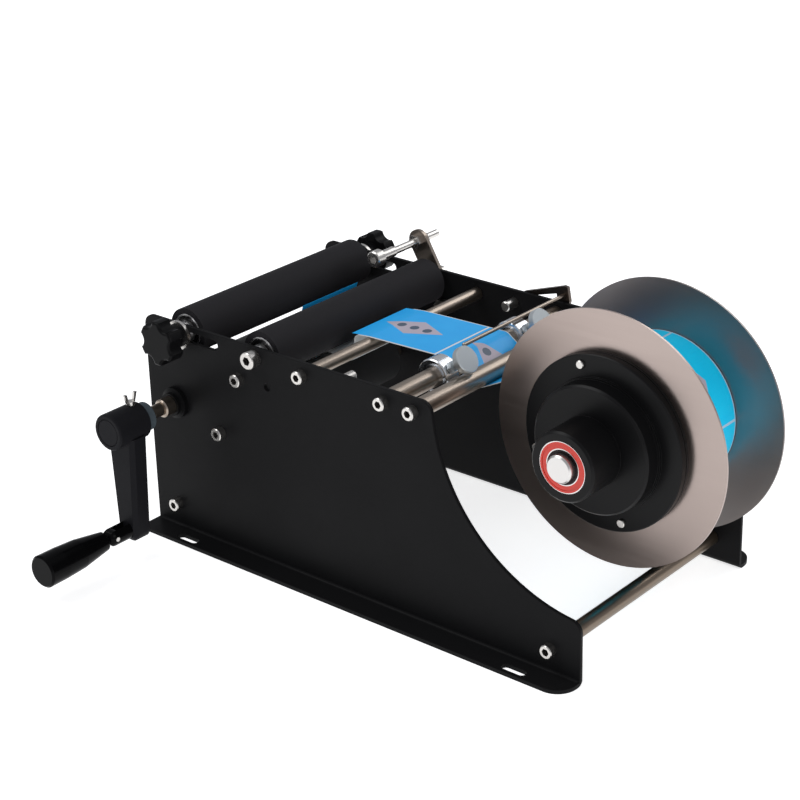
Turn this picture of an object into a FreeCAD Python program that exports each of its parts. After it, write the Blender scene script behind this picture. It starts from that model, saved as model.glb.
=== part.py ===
import FreeCAD, Part
import math
import os

from FreeCAD import Placement, Rotation, Vector

# Bottle labelling machine: two folded side plates carry tie bars, guide rods, two bottle
# rollers, a hand-cranked feed roller and a label reel on a fixed spindle.
# +X points to the reel, +Y to the side away from the crank, +Z up. The origin lies on the
# floor, at the centre of the four slots in the base flanges.

SIZES = {
    # side plates
    "plate_length": 400, "plate_height": 173, "plate_gauge": 3, "frame_width": 204,
    "flange_width": 20, "bend_radius": 2, "sheet_edge": 0.3, "top_corner_radius": 9,
    "flange_corner_radius": 16,
    "cutout_radius": 130, "cutout_centre_x": 206, "cutout_rise": 4,
    "cutout_centre_z": "=plate_height + cutout_rise",
    "far_corner_radius": 30,
    "base_slot_spacing": 310, "base_slot_inset": 13.5, "base_slot_width": 6.6,
    "base_slot_length": 20,
    # screws through the plates
    "screw_diameter": 6, "screw_hole": 6.4, "screw_head_diameter": 10, "screw_head_height": 6,
    "screw_socket_width": 5, "screw_socket_depth": 3, "screw_grip": 14, "tapped_depth": 16,
    "tapped_gap": 0.1,
    "roller_screw_diameter": 8, "roller_screw_hole": 8.4, "roller_screw_head_diameter": 13,
    "roller_screw_head_height": 8, "roller_screw_socket_width": 6,
    # tie bars and guide rods
    "tie_bar_diameter": 12, "rear_tie_x": -177.5, "rear_tie_z": 21,
    "front_tie_x": 175.5, "front_tie_z": 20,
    "peel_bar_diameter": 10, "peel_bar_x": -103.5, "peel_bar_drop": 29,
    "peel_bar_z": "=plate_height - peel_bar_drop",
    "guide_bar_diameter": 10, "guide_rod_diameter": 14, "guide_drop": 10.5,
    "guide_z": "=plate_height - guide_drop",
    "upper_guide_x": -41.5, "collar_rod_x": 34, "front_rod_x": 60,
    "peel_plate_gauge": 2, "peel_plate_length": 164, "peel_edge_drop": 3.5,
    "peel_plate_top": "=plate_height - peel_edge_drop", "peel_plate_width": 35.5,
    "peel_plate_bottom": "=peel_plate_top - peel_plate_width", "peel_screw_span": 120,
    "guide_pin_diameter": 8, "near_pin_x": -12, "far_pin_x": -6, "guide_pin_drop": 10,
    "guide_pin_z": "=plate_height - guide_pin_drop", "near_pin_reach": 19,
    "far_pin_reach": 12, "guide_pin_root": 2, "guide_pin_fit": 0.1,
    # bottle rollers
    "roller_drop": 8.5, "roller_z": "=plate_height - roller_drop",
    "front_roller_x": -87.5, "rear_roller_x": -163,
    "roller_diameter": 35, "roller_end_gap": 5.5, "roller_tube_diameter": 26,
    "roller_sleeve_gap": 0.05, "roller_bearing_diameter": 24, "roller_bearing_width": 6,
    "roller_shaft_diameter": 12, "bearing_fit": 0.02, "bearing_shield": 0.8,
    "spacer_diameter": 16, "spacer_play": 0.2,
    "slot_front_x": -128, "slot_rear_x": -175, "slot_width": 8.4,
    "clamp_shaft_diameter": 8, "clamp_washer_diameter": 22, "clamp_washer_gauge": 2.5,
    "knob_boss_diameter": 18, "knob_boss_length": 10, "knob_thickness": 12,
    "knob_radius": 17, "knob_lobes": 6, "knob_valley_radius": 7, "knob_valley_distance": 20.5,
    "knob_edge": 2, "knob_play": 0.1,
    # crank drive
    "crank_x": -171, "crank_drop": 65, "crank_z": "=plate_height - crank_drop",
    "crank_shaft_diameter": 10, "shaft_play": 0.05,
    "crank_bearing_diameter": 24, "crank_bearing_flange": 4.7, "crank_bearing_boss": 18,
    "crank_bearing_boss_length": 3, "crank_bush_diameter": 14, "crank_bush_length": 17,
    "clamp_ring_diameter": 22, "clamp_ring_width": 8, "crank_hub_start": 40,
    "crank_hub_diameter": 28, "crank_hub_length": 30, "crank_cap_diameter": 21,
    "crank_cap_gap": 0.1, "crank_cap_depth": 4,
    "crank_throw": 83, "crank_arm_start": 46, "crank_arm_thickness": 14,
    "crank_arm_top_width": 27, "crank_arm_end_width": 19, "crank_arm_chamfer": 3,
    "handle_pivot_drop": 14.5, "handle_neck_diameter": 14,
    "handle_tongue": 7, "handle_tongue_gap": 0.2, "handle_pin_diameter": 4,
    "handle_spindle_diameter": 6, "grip_start": 7.9, "grip_length": 60, "grip_neck_diameter": 15,
    "grip_end_diameter": 25, "grip_play": 0.3,
    "wing_screw_offset": 6, "wing_screw_diameter": 4, "wing_screw_height": 9,
    "wing_span": 12, "wing_gauge": 2,
    "feed_roller_diameter": 50, "feed_roller_length": 160, "feed_core_diameter": 40,
    "pinch_roller_diameter": 41, "pinch_core_diameter": 30, "pinch_x": -126,
    "pinch_drop": 78, "pinch_z": "=plate_height - pinch_drop",
    "pinch_shaft_diameter": 12, "pinch_length": 160,
    "far_stop_ring_diameter": 18, "far_stop_ring_width": 7,
    # label reel
    "reel_x": 174.5, "reel_drop": 24, "reel_z": "=plate_height - reel_drop",
    "reel_offset_y": 3, "disc_diameter": 184, "disc_gauge": 1.5,
    "roll_width": 64, "roll_side_gap": 0.5, "near_side_room": 4.7, "roll_diameter": 110,
    "core_diameter": 81,
    "core_bore": 76, "core_play": 0.3, "drum_diameter": 74, "drum_length": 50,
    "plug_length": 13, "spindle_diameter": 20, "spindle_end_y": -93.3,
    "reel_bearing_diameter": 37, "reel_bearing_width": 9,
    "nose_diameter": 50, "nose_length": 31, "hub_diameter": 92, "hub_length": 12,
    "step_diameter": 95, "step_length": 2, "reel_flange_diameter": 126,
    "reel_flange_thickness": 8.3, "flange_groove_depth": 0.8, "flange_groove_width": 0.8,
    "hub_bore_relief": 27, "nose_recess": 0.5,
    "reel_screw_circle": 112, "reel_screw_count": 3, "reel_screw_angle": 108,
    "reel_screw_step_angle": 90, "reel_screw_head": 6,
    "reel_screw_head_height": 2, "reel_screw_diameter": 3,
    "far_flange_diameter": 92, "far_flange_thickness": 6, "far_boss_diameter": 44,
    "far_boss_length": 9, "spindle_collar_diameter": 32, "spindle_collar_length": 18,
    "spindle_stud_diameter": 16, "spindle_stud_length": 17, "spindle_nut_width": 24,
    "spindle_nut_height": 10,
    # label web
    "web_gauge": 0.4, "web_gap": 0.3, "web_slack_x": -56, "web_slack_radius": 5,
    "web_slack_dip": 1, "web_slack_drop": 12, "web_tail": 38,
    # guide collars and their thumb screws
    "collar_diameter": 26.6, "collar_width": 13.5, "collar_recess": 1.5,
    "collar_recess_diameter": 23, "collar_lip_diameter": 18, "near_collar_offset": -44.8,
    "far_collar_offset": 42.8, "thumb_angle": 35, "thumb_boss_width": 8,
    "thumb_boss_height": 4.5, "thumb_stem_diameter": 6, "thumb_stem_top": 27.4,
    "thumb_knob_diameter": 20, "thumb_knob_thickness": 4.7, "thumb_ring_diameter": 10,
    # web hold-down
    "lever_gauge": 3, "lever_gap": 0.3, "lever_head_radius": 8, "lever_rod_rise": 15.2,
    "lever_rod_lean": 3.7, "lever_tip_drop": 7, "lever_tip_reach": 37, "lever_leg_width": 11,
    "lever_tab_width": 7, "hold_rod_diameter": 3, "hold_rod_reach": 126, "hold_rod_tail": 2,
    # bottle stop
    "stop_width": 18, "stop_gauge": 3, "stop_length": 31, "stop_foot_x": -76,
    "stop_foot_drop": 28.3, "stop_foot_z": "=plate_height - stop_foot_drop",
    "stop_screw_diameter": 6, "stop_shoulder_diameter": 8,
    "stop_shoulder_length": 16, "stop_head_diameter": 13, "stop_head_height": 8,
    "stop_screw_length": 70, "stop_screw_near": 48, "stop_nut_width": 10,
    "stop_nut_height": 5, "stop_play": 0.2,
}


class Length:
    """A size in millimetres together with the spreadsheet expression that gives it."""

    def __init__(self, mm, text):
        self.mm = mm
        self.text = text

    def _join(self, other, sign, mm):
        text = other.text if isinstance(other, Length) else repr(other)
        return Length(mm, f"({self.text} {sign} {text})")

    def __add__(self, other):
        return self._join(other, "+", self.mm + number(other))

    def __sub__(self, other):
        return self._join(other, "-", self.mm - number(other))

    def __mul__(self, other):
        return self._join(other, "*", self.mm * number(other))

    def __truediv__(self, other):
        return self._join(other, "/", self.mm / number(other))

    def __neg__(self):
        return Length(-self.mm, f"(0 - {self.text})")

    def __radd__(self, plain):
        return self + plain

    def __rsub__(self, plain):
        return -self + plain

    def __rmul__(self, plain):
        return self * plain


def number(size):
    return size.mm if isinstance(size, Length) else float(size)


class SizeTable:
    """The driving dimensions, one spreadsheet cell each, read by their aliases."""

    def __init__(self, doc, sizes):
        self.sheet = doc.addObject("Spreadsheet::Sheet", "Sizes")
        for row, (alias, value) in enumerate(sizes.items(), start=1):
            self.sheet.set(f"A{row}", alias)
            self.sheet.set(f"B{row}", str(value))
            self.sheet.setAlias(f"B{row}", alias)
        doc.recompute()

    def __getattr__(self, alias):
        return Length(float(self.sheet.get(alias)), f"Sizes.{alias}")


doc = FreeCAD.newDocument("BottleLabeller")
size = SizeTable(doc, SIZES)
SUB_PARTS = []

ALONG_Y = Rotation(Vector(0, 0, 1), 90)
AGAINST_Y = Rotation(Vector(0, 0, 1), -90)
UPRIGHT = Rotation(Vector(0, 1, 0), -90)
NO_TURN = Rotation()


# ---------------------------------------------------------------- drawing and building helpers

def bind(thing, prop, length):
    """Give a property its value and the expression that keeps it."""
    if isinstance(length, Length):
        thing.setExpression(prop, length.text)
    else:
        setattr(thing, prop, length)


def place(thing, turn, x=0, y=0, z=0):
    """Turn a sub-part and put its origin at x, y, z."""
    thing.Placement = Placement(Vector(number(x), number(y), number(z)), turn)
    for axis, length in (("x", x), ("y", y), ("z", z)):
        if isinstance(length, Length):
            thing.setExpression(f"Placement.Base.{axis}", length.text)


def keep(thing, label):
    """List an object as a finished sub-part under the name of its file."""
    thing.Label = label
    SUB_PARTS.append(thing)
    return thing


def new_body(name):
    return doc.addObject("PartDesign::Body", name + "_body")


def new_sketch(body, role, name, height=None):
    """A sketch on one of the body's own origin planes, lifted by height along its normal."""
    sketch = body.newObject("Sketcher::SketchObject", name)
    plane = [item for item in body.Origin.OriginFeatures if item.Role == role][0]
    sketch.AttachmentSupport = [(plane, "")]
    sketch.MapMode = "FlatFace"
    if height is not None:
        bind(sketch, "AttachmentOffset.Base.z", height)
    return sketch


def dimension(sketch, kind, geometry, vertex, length):
    """Dimension one vertex from the sketch's origin."""
    value = number(length)
    if abs(value) < 1e-9 and not isinstance(length, Length):
        axis = -2 if kind == "DistanceX" else -1
        sketch.addConstraint(sketcher_constraint("PointOnObject", geometry, vertex, axis))
        return
    index = sketch.addConstraint(sketcher_constraint(kind, -1, 1, geometry, vertex, value))
    if isinstance(length, Length):
        sketch.setExpression(f"Constraints[{index}]", length.text)


def sketcher_constraint(*parts):
    import Sketcher
    return Sketcher.Constraint(*parts)


def draw_polygon(sketch, corners):
    """A closed outline of straight edges, each corner dimensioned from the origin."""
    first = sketch.GeometryCount
    count = len(corners)
    points = [Vector(number(x), number(y), 0) for x, y in corners]
    for index in range(count):
        sketch.addGeometry(Part.LineSegment(points[index], points[(index + 1) % count]), False)
    for index in range(count):
        after = first + (index + 1) % count
        sketch.addConstraint(sketcher_constraint("Coincident", first + index, 2, after, 1))
    for index, (x, y) in enumerate(corners):
        dimension(sketch, "DistanceX", first + index, 1, x)
        dimension(sketch, "DistanceY", first + index, 1, y)


def draw_circle(sketch, x, y, diameter):
    circle = Part.Circle(Vector(number(x), number(y), 0), Vector(0, 0, 1), number(diameter) / 2)
    index = sketch.addGeometry(circle, False)
    dimension(sketch, "DistanceX", index, 3, x)
    dimension(sketch, "DistanceY", index, 3, y)
    row = sketch.addConstraint(sketcher_constraint("Diameter", index, number(diameter)))
    if isinstance(diameter, Length):
        sketch.setExpression(f"Constraints[{row}]", diameter.text)


def draw_slot(sketch, start_x, end_x, y, width):
    """A round-ended slot along the sketch's X direction, between two end centres."""
    left = Vector(number(start_x), number(y), 0)
    right = Vector(number(end_x), number(y), 0)
    radius = number(width) / 2
    up = Vector(0, radius, 0)
    quarter = math.pi / 2
    normal = Vector(0, 0, 1)
    end_left = sketch.addGeometry(
        Part.ArcOfCircle(Part.Circle(left, normal, radius), quarter, 3 * quarter), False)
    bottom = sketch.addGeometry(Part.LineSegment(left - up, right - up), False)
    end_right = sketch.addGeometry(
        Part.ArcOfCircle(Part.Circle(right, normal, radius), -quarter, quarter), False)
    top = sketch.addGeometry(Part.LineSegment(right + up, left + up), False)
    joints = ((end_left, 2, bottom, 1), (bottom, 2, end_right, 1), (end_right, 2, top, 1),
              (top, 2, end_left, 1))
    for joint in joints:
        sketch.addConstraint(sketcher_constraint("Tangent", *joint))
    dimension(sketch, "DistanceX", end_left, 3, start_x)
    dimension(sketch, "DistanceX", end_right, 3, end_x)
    dimension(sketch, "DistanceY", end_left, 3, y)
    sketch.addConstraint(sketcher_constraint("Horizontal", bottom))
    row = sketch.addConstraint(sketcher_constraint("Radius", end_left, radius))
    if isinstance(width, Length):
        sketch.setExpression(f"Constraints[{row}]", (width / 2).text)


def pad(body, sketch, length, middle=False, reverse=False):
    feature = body.newObject("PartDesign::Pad", sketch.Name + "_pad")
    feature.Profile = sketch
    bind(feature, "Length", length)
    feature.SideType = "Symmetric" if middle else "One side"
    feature.Reversed = reverse
    return feature


def pocket(body, sketch, length=None, reverse=False):
    """Cut a sketch right through both ways, or to a depth."""
    feature = body.newObject("PartDesign::Pocket", sketch.Name + "_pocket")
    feature.Profile = sketch
    if length is None:
        feature.Type = "ThroughAll"
        feature.SideType = "Symmetric"
    else:
        bind(feature, "Length", length)
        feature.Reversed = reverse
    return feature


def round_edges(body, radius, chosen, kind="PartDesign::Fillet"):
    """Round (or chamfer) the edges of the body's last feature that chosen() accepts."""
    doc.recompute()
    base = body.Tip
    names = [f"Edge{number_ + 1}" for number_, edge in enumerate(base.Shape.Edges)
             if chosen(edge)]
    if not names:
        raise ValueError(f"no edge to round on {body.Name}")
    feature = body.newObject(kind, body.Name + "_edges")
    feature.Base = (base, names)
    bind(feature, "Radius" if kind.endswith("Fillet") else "Size", radius)
    return feature


def edge_at(axis, **place_of):
    """Picks straight edges parallel to axis whose middle lies at the given coordinates."""
    def chosen(edge):
        if edge.Curve.TypeId != "Part::GeomLine":
            return False
        direction = edge.tangentAt(edge.FirstParameter)
        if abs(abs(getattr(direction, axis)) - 1) > 1e-6:
            return False
        middle = edge.CenterOfMass
        return all(abs(getattr(middle, name) - number(value)) < 1e-4
                   for name, value in place_of.items())
    return chosen


def turned(label, profile, turn, x=0, y=0, z=0, finished=True):
    """A turned piece: a half section of (distance, radius) corners revolved about its axis."""
    body = new_body(label)
    sketch = new_sketch(body, "XY_Plane", label + "_section")
    draw_polygon(sketch, profile)
    revolve = body.newObject("PartDesign::Revolution", label + "_turned")
    revolve.Profile = sketch
    revolve.ReferenceAxis = (sketch, ["H_Axis"])
    revolve.Angle = 360
    place(body, turn, x, y, z)
    if finished:
        keep(body, label)
    return body


def tube_profile(length, outer, inner):
    """Half section of a plain tube from 0 to length."""
    return [(0, inner / 2), (length, inner / 2), (length, outer / 2), (0, outer / 2)]


def rod_profile(length, diameter, bevel=0.5):
    """Half section of a bar with broken end edges."""
    rim = diameter / 2
    return [(0, 0), (length, 0), (length, rim - bevel), (length - bevel, rim), (bevel, rim),
            (0, rim - bevel)]


def compound(label, pieces):
    """Identical loose pieces that share a file."""
    group = doc.addObject("Part::Compound", label + "_set")
    group.Links = pieces
    return keep(group, label)


# ------------------------------------------------------------------------- places that recur

NEAR_FACE = -size.frame_width / 2
FAR_FACE = size.frame_width / 2
INNER_WIDTH = size.frame_width - size.plate_gauge * 2
NEAR_INSIDE = NEAR_FACE + size.plate_gauge
FAR_INSIDE = FAR_FACE - size.plate_gauge
ROLLER_LENGTH = INNER_WIDTH - size.roller_end_gap * 2
ROLL_NEAR = size.reel_offset_y - size.roll_width / 2
ROLL_FAR = size.reel_offset_y + size.roll_width / 2
CORE_NEAR = ROLL_NEAR - size.near_side_room
NEAR_DISC_BACK = CORE_NEAR - size.roll_side_gap
FAR_DISC_FRONT = ROLL_FAR + size.roll_side_gap
STOP_RISE = math.hypot(number(size.front_roller_x - size.stop_foot_x),
                       number(size.roller_z - size.stop_foot_z))
STOP_RUN = (size.front_roller_x - size.stop_foot_x) / STOP_RISE
STOP_CLIMB = (size.roller_z - size.stop_foot_z) / STOP_RISE
STOP_TOP_X = size.front_roller_x + STOP_RUN * size.stop_length
STOP_TOP_Z = size.roller_z + STOP_CLIMB * size.stop_length


# ------------------------------------------------------------------------------- side plates

def fixing_holes():
    """Where M6 screws go through both plates into the ends of bars and shafts."""
    return [(size.rear_tie_x, size.rear_tie_z), (size.front_tie_x, size.front_tie_z),
            (size.pinch_x, size.pinch_z), (size.peel_bar_x, size.peel_bar_z),
            (size.upper_guide_x, size.guide_z), (size.collar_rod_x, size.guide_z),
            (size.front_rod_x, size.guide_z)]


def side_plate(label, side):
    """A folded sheet; side is -1 for the crank side and +1 for the reel spindle's side."""
    near = side < 0
    body = new_body(label)
    half = size.plate_length / 2
    outline = new_sketch(body, "XZ_Plane", label + "_outline")
    draw_polygon(outline, [(-half, 0), (half, 0), (half, size.plate_height),
                           (-half, size.plate_height)])
    pad(body, outline, size.plate_gauge, reverse=near)
    inner = size.plate_gauge * -side
    if near:
        notch = new_sketch(body, "XZ_Plane", label + "_reel_notch")
        draw_circle(notch, size.cutout_centre_x, size.cutout_centre_z, size.cutout_radius * 2)
        pocket(body, notch)
    foot = new_sketch(body, "XY_Plane", label + "_flange")
    reach = size.flange_width * side
    draw_polygon(foot, [(-half, 0), (half, 0), (half, reach), (-half, reach)])
    pad(body, foot, size.plate_gauge)
    round_edges(body, size.flange_corner_radius, edge_at("z", x=half, y=reach))
    round_edges(body, size.top_corner_radius / 2, edge_at("z", x=-half, y=reach))
    round_edges(body, size.top_corner_radius, edge_at("y", x=-half, z=size.plate_height))
    if near:
        drop = size.plate_height - size.cutout_centre_z
        rim_x = number(size.cutout_centre_x) - math.sqrt(
            number(size.cutout_radius) ** 2 - number(drop) ** 2)
        back = number(half - size.cutout_centre_x)
        rim_z = number(size.cutout_centre_z) - math.sqrt(
            number(size.cutout_radius) ** 2 - back ** 2)
        round_edges(body, size.top_corner_radius, edge_at("y", x=rim_x, z=size.plate_height))
        round_edges(body, size.top_corner_radius * 0.9, edge_at("y", x=half, z=rim_z))
    else:
        round_edges(body, size.far_corner_radius, edge_at("y", x=half, z=size.plate_height))
    clear_of_bend = number(size.bend_radius + size.plate_gauge * 2)
    round_edges(body, size.sheet_edge,
                lambda edge: edge.BoundBox.YLength < 1e-6
                and edge.BoundBox.ZMax > clear_of_bend
                and not edge_at("x", y=0, z=size.plate_gauge)(edge), "PartDesign::Chamfer")
    round_edges(body, size.bend_radius, edge_at("x", y=0, z=size.plate_gauge))
    round_edges(body, size.bend_radius + size.plate_gauge, edge_at("x", y=inner, z=0))

    holes = new_sketch(body, "XZ_Plane", label + "_holes")
    for x, z in fixing_holes():
        draw_circle(holes, x, z, size.screw_hole)
    draw_circle(holes, size.stop_foot_x, size.stop_foot_z, size.screw_hole)
    draw_circle(holes, size.front_roller_x, size.roller_z, size.roller_screw_hole)
    draw_circle(holes, size.crank_x, size.crank_z,
                size.crank_bush_diameter + size.tapped_gap * 2)
    if not near:
        draw_circle(holes, size.reel_x, size.reel_z,
                    size.spindle_stud_diameter + size.tapped_gap * 2)
    pocket(body, holes)
    slot = new_sketch(body, "XZ_Plane", label + "_slot")
    draw_slot(slot, size.slot_rear_x, size.slot_front_x, size.roller_z, size.slot_width)
    pocket(body, slot)
    root = new_sketch(body, "XZ_Plane", label + "_pin_root", size.plate_gauge * side)
    draw_circle(root, size.near_pin_x if near else size.far_pin_x, size.guide_pin_z,
                size.screw_diameter + size.guide_pin_fit * 2)
    pocket(body, root, size.guide_pin_root, reverse=near)
    feet = new_sketch(body, "XY_Plane", label + "_base_slots")
    reach_in = (size.base_slot_length - size.base_slot_width) / 2
    for end in (-1, 1):
        middle = size.base_slot_spacing * (end / 2)
        draw_slot(feet, middle - reach_in, middle + reach_in, size.base_slot_inset * side,
                  size.base_slot_width)
    pocket(body, feet)
    place(body, NO_TURN, 0, NEAR_FACE if near else FAR_FACE, 0)
    keep(body, label)


# ---------------------------------------------------------------- bars, rods and their screws

def tapped_bar(label, x, z, diameter, bore, finished=True):
    """A bar that fills the width between the plates, drilled at both ends for its screws."""
    hole = bore / 2 + size.tapped_gap
    rim = diameter / 2
    depth = size.tapped_depth
    length = INNER_WIDTH
    bevel = 0.5
    profile = [(0, hole), (depth, hole), (depth, 0), (length - depth, 0),
               (length - depth, hole), (length, hole), (length, rim - bevel),
               (length - bevel, rim), (bevel, rim), (0, rim - bevel)]
    return turned(label, profile, ALONG_Y, x, NEAR_INSIDE, z, finished)


def cap_screw(name, x, z, near, shank, head, height, socket, grip, lift=None):
    """A socket cap screw whose head seats on the outside of a plate."""
    body = new_body(name)
    section = new_sketch(body, "XY_Plane", name + "_section")
    bevel = 0.6
    draw_polygon(section, [(-height, 0), (grip, 0), (grip, shank / 2 - bevel),
                           (grip - bevel, shank / 2), (0, shank / 2), (0, head / 2),
                           (bevel - height, head / 2), (-height, head / 2 - bevel)])
    revolve = body.newObject("PartDesign::Revolution", name + "_turned")
    revolve.Profile = section
    revolve.ReferenceAxis = (section, ["H_Axis"])
    socket_sketch = new_sketch(body, "YZ_Plane", name + "_socket", -height)
    half = socket / 2
    across = socket / math.sqrt(3)
    draw_polygon(socket_sketch, [(across, 0), (across / 2, half), (-across / 2, half),
                                 (-across, 0), (-across / 2, -half), (across / 2, -half)])
    pocket(body, socket_sketch, size.screw_socket_depth, reverse=True)
    seat = NEAR_FACE if near else FAR_FACE
    if lift is not None:
        seat = seat - lift if near else seat + lift
    place(body, ALONG_Y if near else AGAINST_Y, x, seat, z)
    return body


def plate_screws():
    """All M6 screws through the two plates are one sub-part of separate solids."""
    screws = []
    for side, near in (("near", True), ("far", False)):
        for index, (x, z) in enumerate(fixing_holes(), start=1):
            pivot = not near and x.text == size.collar_rod_x.text
            lift = size.lever_gauge + size.lever_gap * 2 if pivot else None
            screws.append(cap_screw(f"{side}_screw_{index}", x, z, near, size.screw_diameter,
                                    size.screw_head_diameter, size.screw_head_height,
                                    size.screw_socket_width, size.screw_grip, lift))
        if not near:
            screws.append(cap_screw("stop_foot_screw", size.stop_foot_x, size.stop_foot_z,
                                    near, size.screw_diameter, size.screw_head_diameter,
                                    size.screw_head_height, size.screw_socket_width,
                                    size.screw_grip, size.stop_gauge))
    compound("plate_screws", screws)
    rollers = []
    for name, near in (("near_roller_screw", True), ("far_roller_screw", False)):
        rollers.append(cap_screw(name, size.front_roller_x, size.roller_z, near,
                                 size.roller_screw_diameter, size.roller_screw_head_diameter,
                                 size.roller_screw_head_height, size.roller_screw_socket_width,
                                 size.screw_grip, None if near else size.stop_gauge))
    compound("front_roller_screws", rollers)


def hex_nut(label, width, height, bore, x, y, z, finished):
    """A hexagon nut on a shaft along Y."""
    body = new_body(label)
    sketch = new_sketch(body, "YZ_Plane", label + "_hexagon")
    half = width / 2
    across = width / math.sqrt(3)
    draw_polygon(sketch, [(across, 0), (across / 2, half), (-across / 2, half), (-across, 0),
                          (-across / 2, -half), (across / 2, -half)])
    draw_circle(sketch, 0, 0, bore)
    pad(body, sketch, height)
    place(body, ALONG_Y, x, y, z)
    if finished:
        keep(body, label)
    return body


def bars_and_rods():
    screw = size.screw_diameter
    tie = size.tie_bar_diameter
    compound("tie_bars", [
        tapped_bar("rear_tie_bar", size.rear_tie_x, size.rear_tie_z, tie, screw, False),
        tapped_bar("front_tie_bar", size.front_tie_x, size.front_tie_z, tie, screw, False)])
    tapped_bar("peel_plate_bar", size.peel_bar_x, size.peel_bar_z, size.peel_bar_diameter, screw)
    tapped_bar("upper_guide_bar", size.upper_guide_x, size.guide_z, size.guide_bar_diameter,
               screw)
    rod = size.guide_rod_diameter
    compound("guide_rods", [
        tapped_bar("collar_guide_rod", size.collar_rod_x, size.guide_z, rod, screw, False),
        tapped_bar("front_guide_rod", size.front_rod_x, size.guide_z, rod, screw, False)])
    tapped_bar("pinch_roller_shaft", size.pinch_x, size.pinch_z, size.pinch_shaft_diameter,
               screw)
    tapped_bar("front_roller_shaft", size.front_roller_x, size.roller_z,
               size.roller_shaft_diameter, size.roller_screw_diameter)


def peel_plate():
    """A strip of sheet on edge beside its bar; the label web turns back over its top edge."""
    body = new_body("peel_plate")
    outline = new_sketch(body, "YZ_Plane", "peel_plate_outline")
    half = size.peel_plate_length / 2
    draw_polygon(outline, [(-half, size.peel_plate_bottom), (half, size.peel_plate_bottom),
                           (half, size.peel_plate_top), (-half, size.peel_plate_top)])
    for end in (-1, 1):
        draw_circle(outline, size.peel_screw_span * (end / 2), size.peel_bar_z, size.screw_hole / 2)
    pad(body, outline, size.peel_plate_gauge, reverse=True)
    edge_x = -size.peel_plate_gauge
    round_edges(body, size.peel_plate_gauge * 0.4,
                lambda edge: edge_at("y", x=0, z=size.peel_plate_top)(edge)
                or edge_at("y", x=edge_x, z=size.peel_plate_top)(edge))
    place(body, NO_TURN, size.peel_bar_x - size.peel_bar_diameter / 2, 0, 0)
    keep(body, "peel_plate")


def guide_pins():
    """Two short steel pins, each pressed into the inside of a plate beside the web."""
    pins = []
    radius = size.guide_pin_diameter / 2
    neck = size.screw_diameter / 2
    bevel = 0.8
    for name, reach, turn, x, y in (
            ("near_pin", size.near_pin_reach, ALONG_Y, size.near_pin_x, NEAR_INSIDE),
            ("far_pin", size.far_pin_reach, AGAINST_Y, size.far_pin_x, FAR_INSIDE)):
        root = size.guide_pin_fit - size.guide_pin_root
        profile = [(root, 0), (reach, 0), (reach, radius - bevel), (reach - bevel, radius),
                   (0, radius), (0, neck), (root, neck)]
        pins.append(turned(name, profile, turn, x, y, size.guide_pin_z, False))
    compound("web_guide_pins", pins)


# ----------------------------------------------------------------------------- bottle rollers

def roller_bearing_profile(width, outer, inner, shield):
    """A shielded ball bearing, outer and inner rings with the shields set back."""
    ring = (outer - inner) / 8
    return [(0, inner / 2), (width, inner / 2), (width, inner / 2 + ring),
            (width - shield, inner / 2 + ring), (width - shield, outer / 2 - ring),
            (width, outer / 2 - ring), (width, outer / 2), (0, outer / 2),
            (0, outer / 2 - ring), (shield, outer / 2 - ring), (shield, inner / 2 + ring),
            (0, inner / 2 + ring)]


def bottle_roller(prefix, x):
    """A tube on two ball bearings, with a soft black rubber sleeve over it."""
    start = NEAR_INSIDE + size.roller_end_gap
    finish = FAR_INSIDE - size.roller_end_gap
    turned(prefix + "_roller_sleeve",
           tube_profile(ROLLER_LENGTH, size.roller_diameter,
                        size.roller_tube_diameter + size.roller_sleeve_gap * 2),
           ALONG_Y, x, start, size.roller_z)
    seat = size.roller_bearing_diameter / 2 + size.bearing_fit
    bore = seat - 2
    width = size.roller_bearing_width
    rim = size.roller_tube_diameter / 2
    length = ROLLER_LENGTH
    turned(prefix + "_roller_tube",
           [(0, seat), (width, seat), (width, bore), (length - width, bore),
            (length - width, seat), (length, seat), (length, rim), (0, rim)],
           ALONG_Y, x, start, size.roller_z)
    profile = roller_bearing_profile(width, size.roller_bearing_diameter,
                                     size.roller_shaft_diameter + size.bearing_fit * 2,
                                     size.bearing_shield)
    bearings = []
    for end, y in (("near", start), ("far", finish - width)):
        bearings.append(turned(f"{prefix}_{end}_bearing", profile, ALONG_Y, x, y,
                               size.roller_z, False))
    compound(prefix + "_roller_bearings", bearings)
    spacers = []
    length = size.roller_end_gap - size.spacer_play
    bore = size.roller_shaft_diameter + size.spacer_play
    for end, y in (("near", start - length), ("far", finish)):
        spacers.append(turned(f"{prefix}_{end}_spacer",
                              tube_profile(length, size.spacer_diameter, bore),
                              ALONG_Y, x, y, size.roller_z, False))
    compound(prefix + "_roller_spacers", spacers)


def rear_roller_shaft():
    """The movable shaft: full size inside the plates, reduced where it runs in the slots."""
    outside = size.clamp_washer_gauge + size.knob_boss_length + size.knob_thickness * 0.7
    stub = size.clamp_shaft_diameter / 2
    rim = size.roller_shaft_diameter / 2
    play = size.spacer_play
    shoulder = outside + size.plate_gauge + play
    end = outside * 2 + size.frame_width
    profile = [(0, 0), (end, 0), (end, stub), (end - shoulder, stub), (end - shoulder, rim),
               (shoulder, rim), (shoulder, stub), (0, stub)]
    turned("rear_roller_shaft", profile, ALONG_Y, size.rear_roller_x, NEAR_FACE - outside,
           size.roller_z)


def clamp_washers():
    bore = size.clamp_shaft_diameter + size.tapped_gap * 2
    gauge = size.clamp_washer_gauge
    near = turned("near_washer", tube_profile(gauge, size.clamp_washer_diameter, bore),
                  ALONG_Y, size.rear_roller_x, NEAR_FACE - gauge, size.roller_z, False)
    far = turned("far_washer", tube_profile(gauge, size.clamp_washer_diameter, bore),
                 ALONG_Y, size.rear_roller_x, FAR_FACE, size.roller_z, False)
    compound("clamp_washers", [near, far])


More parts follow.
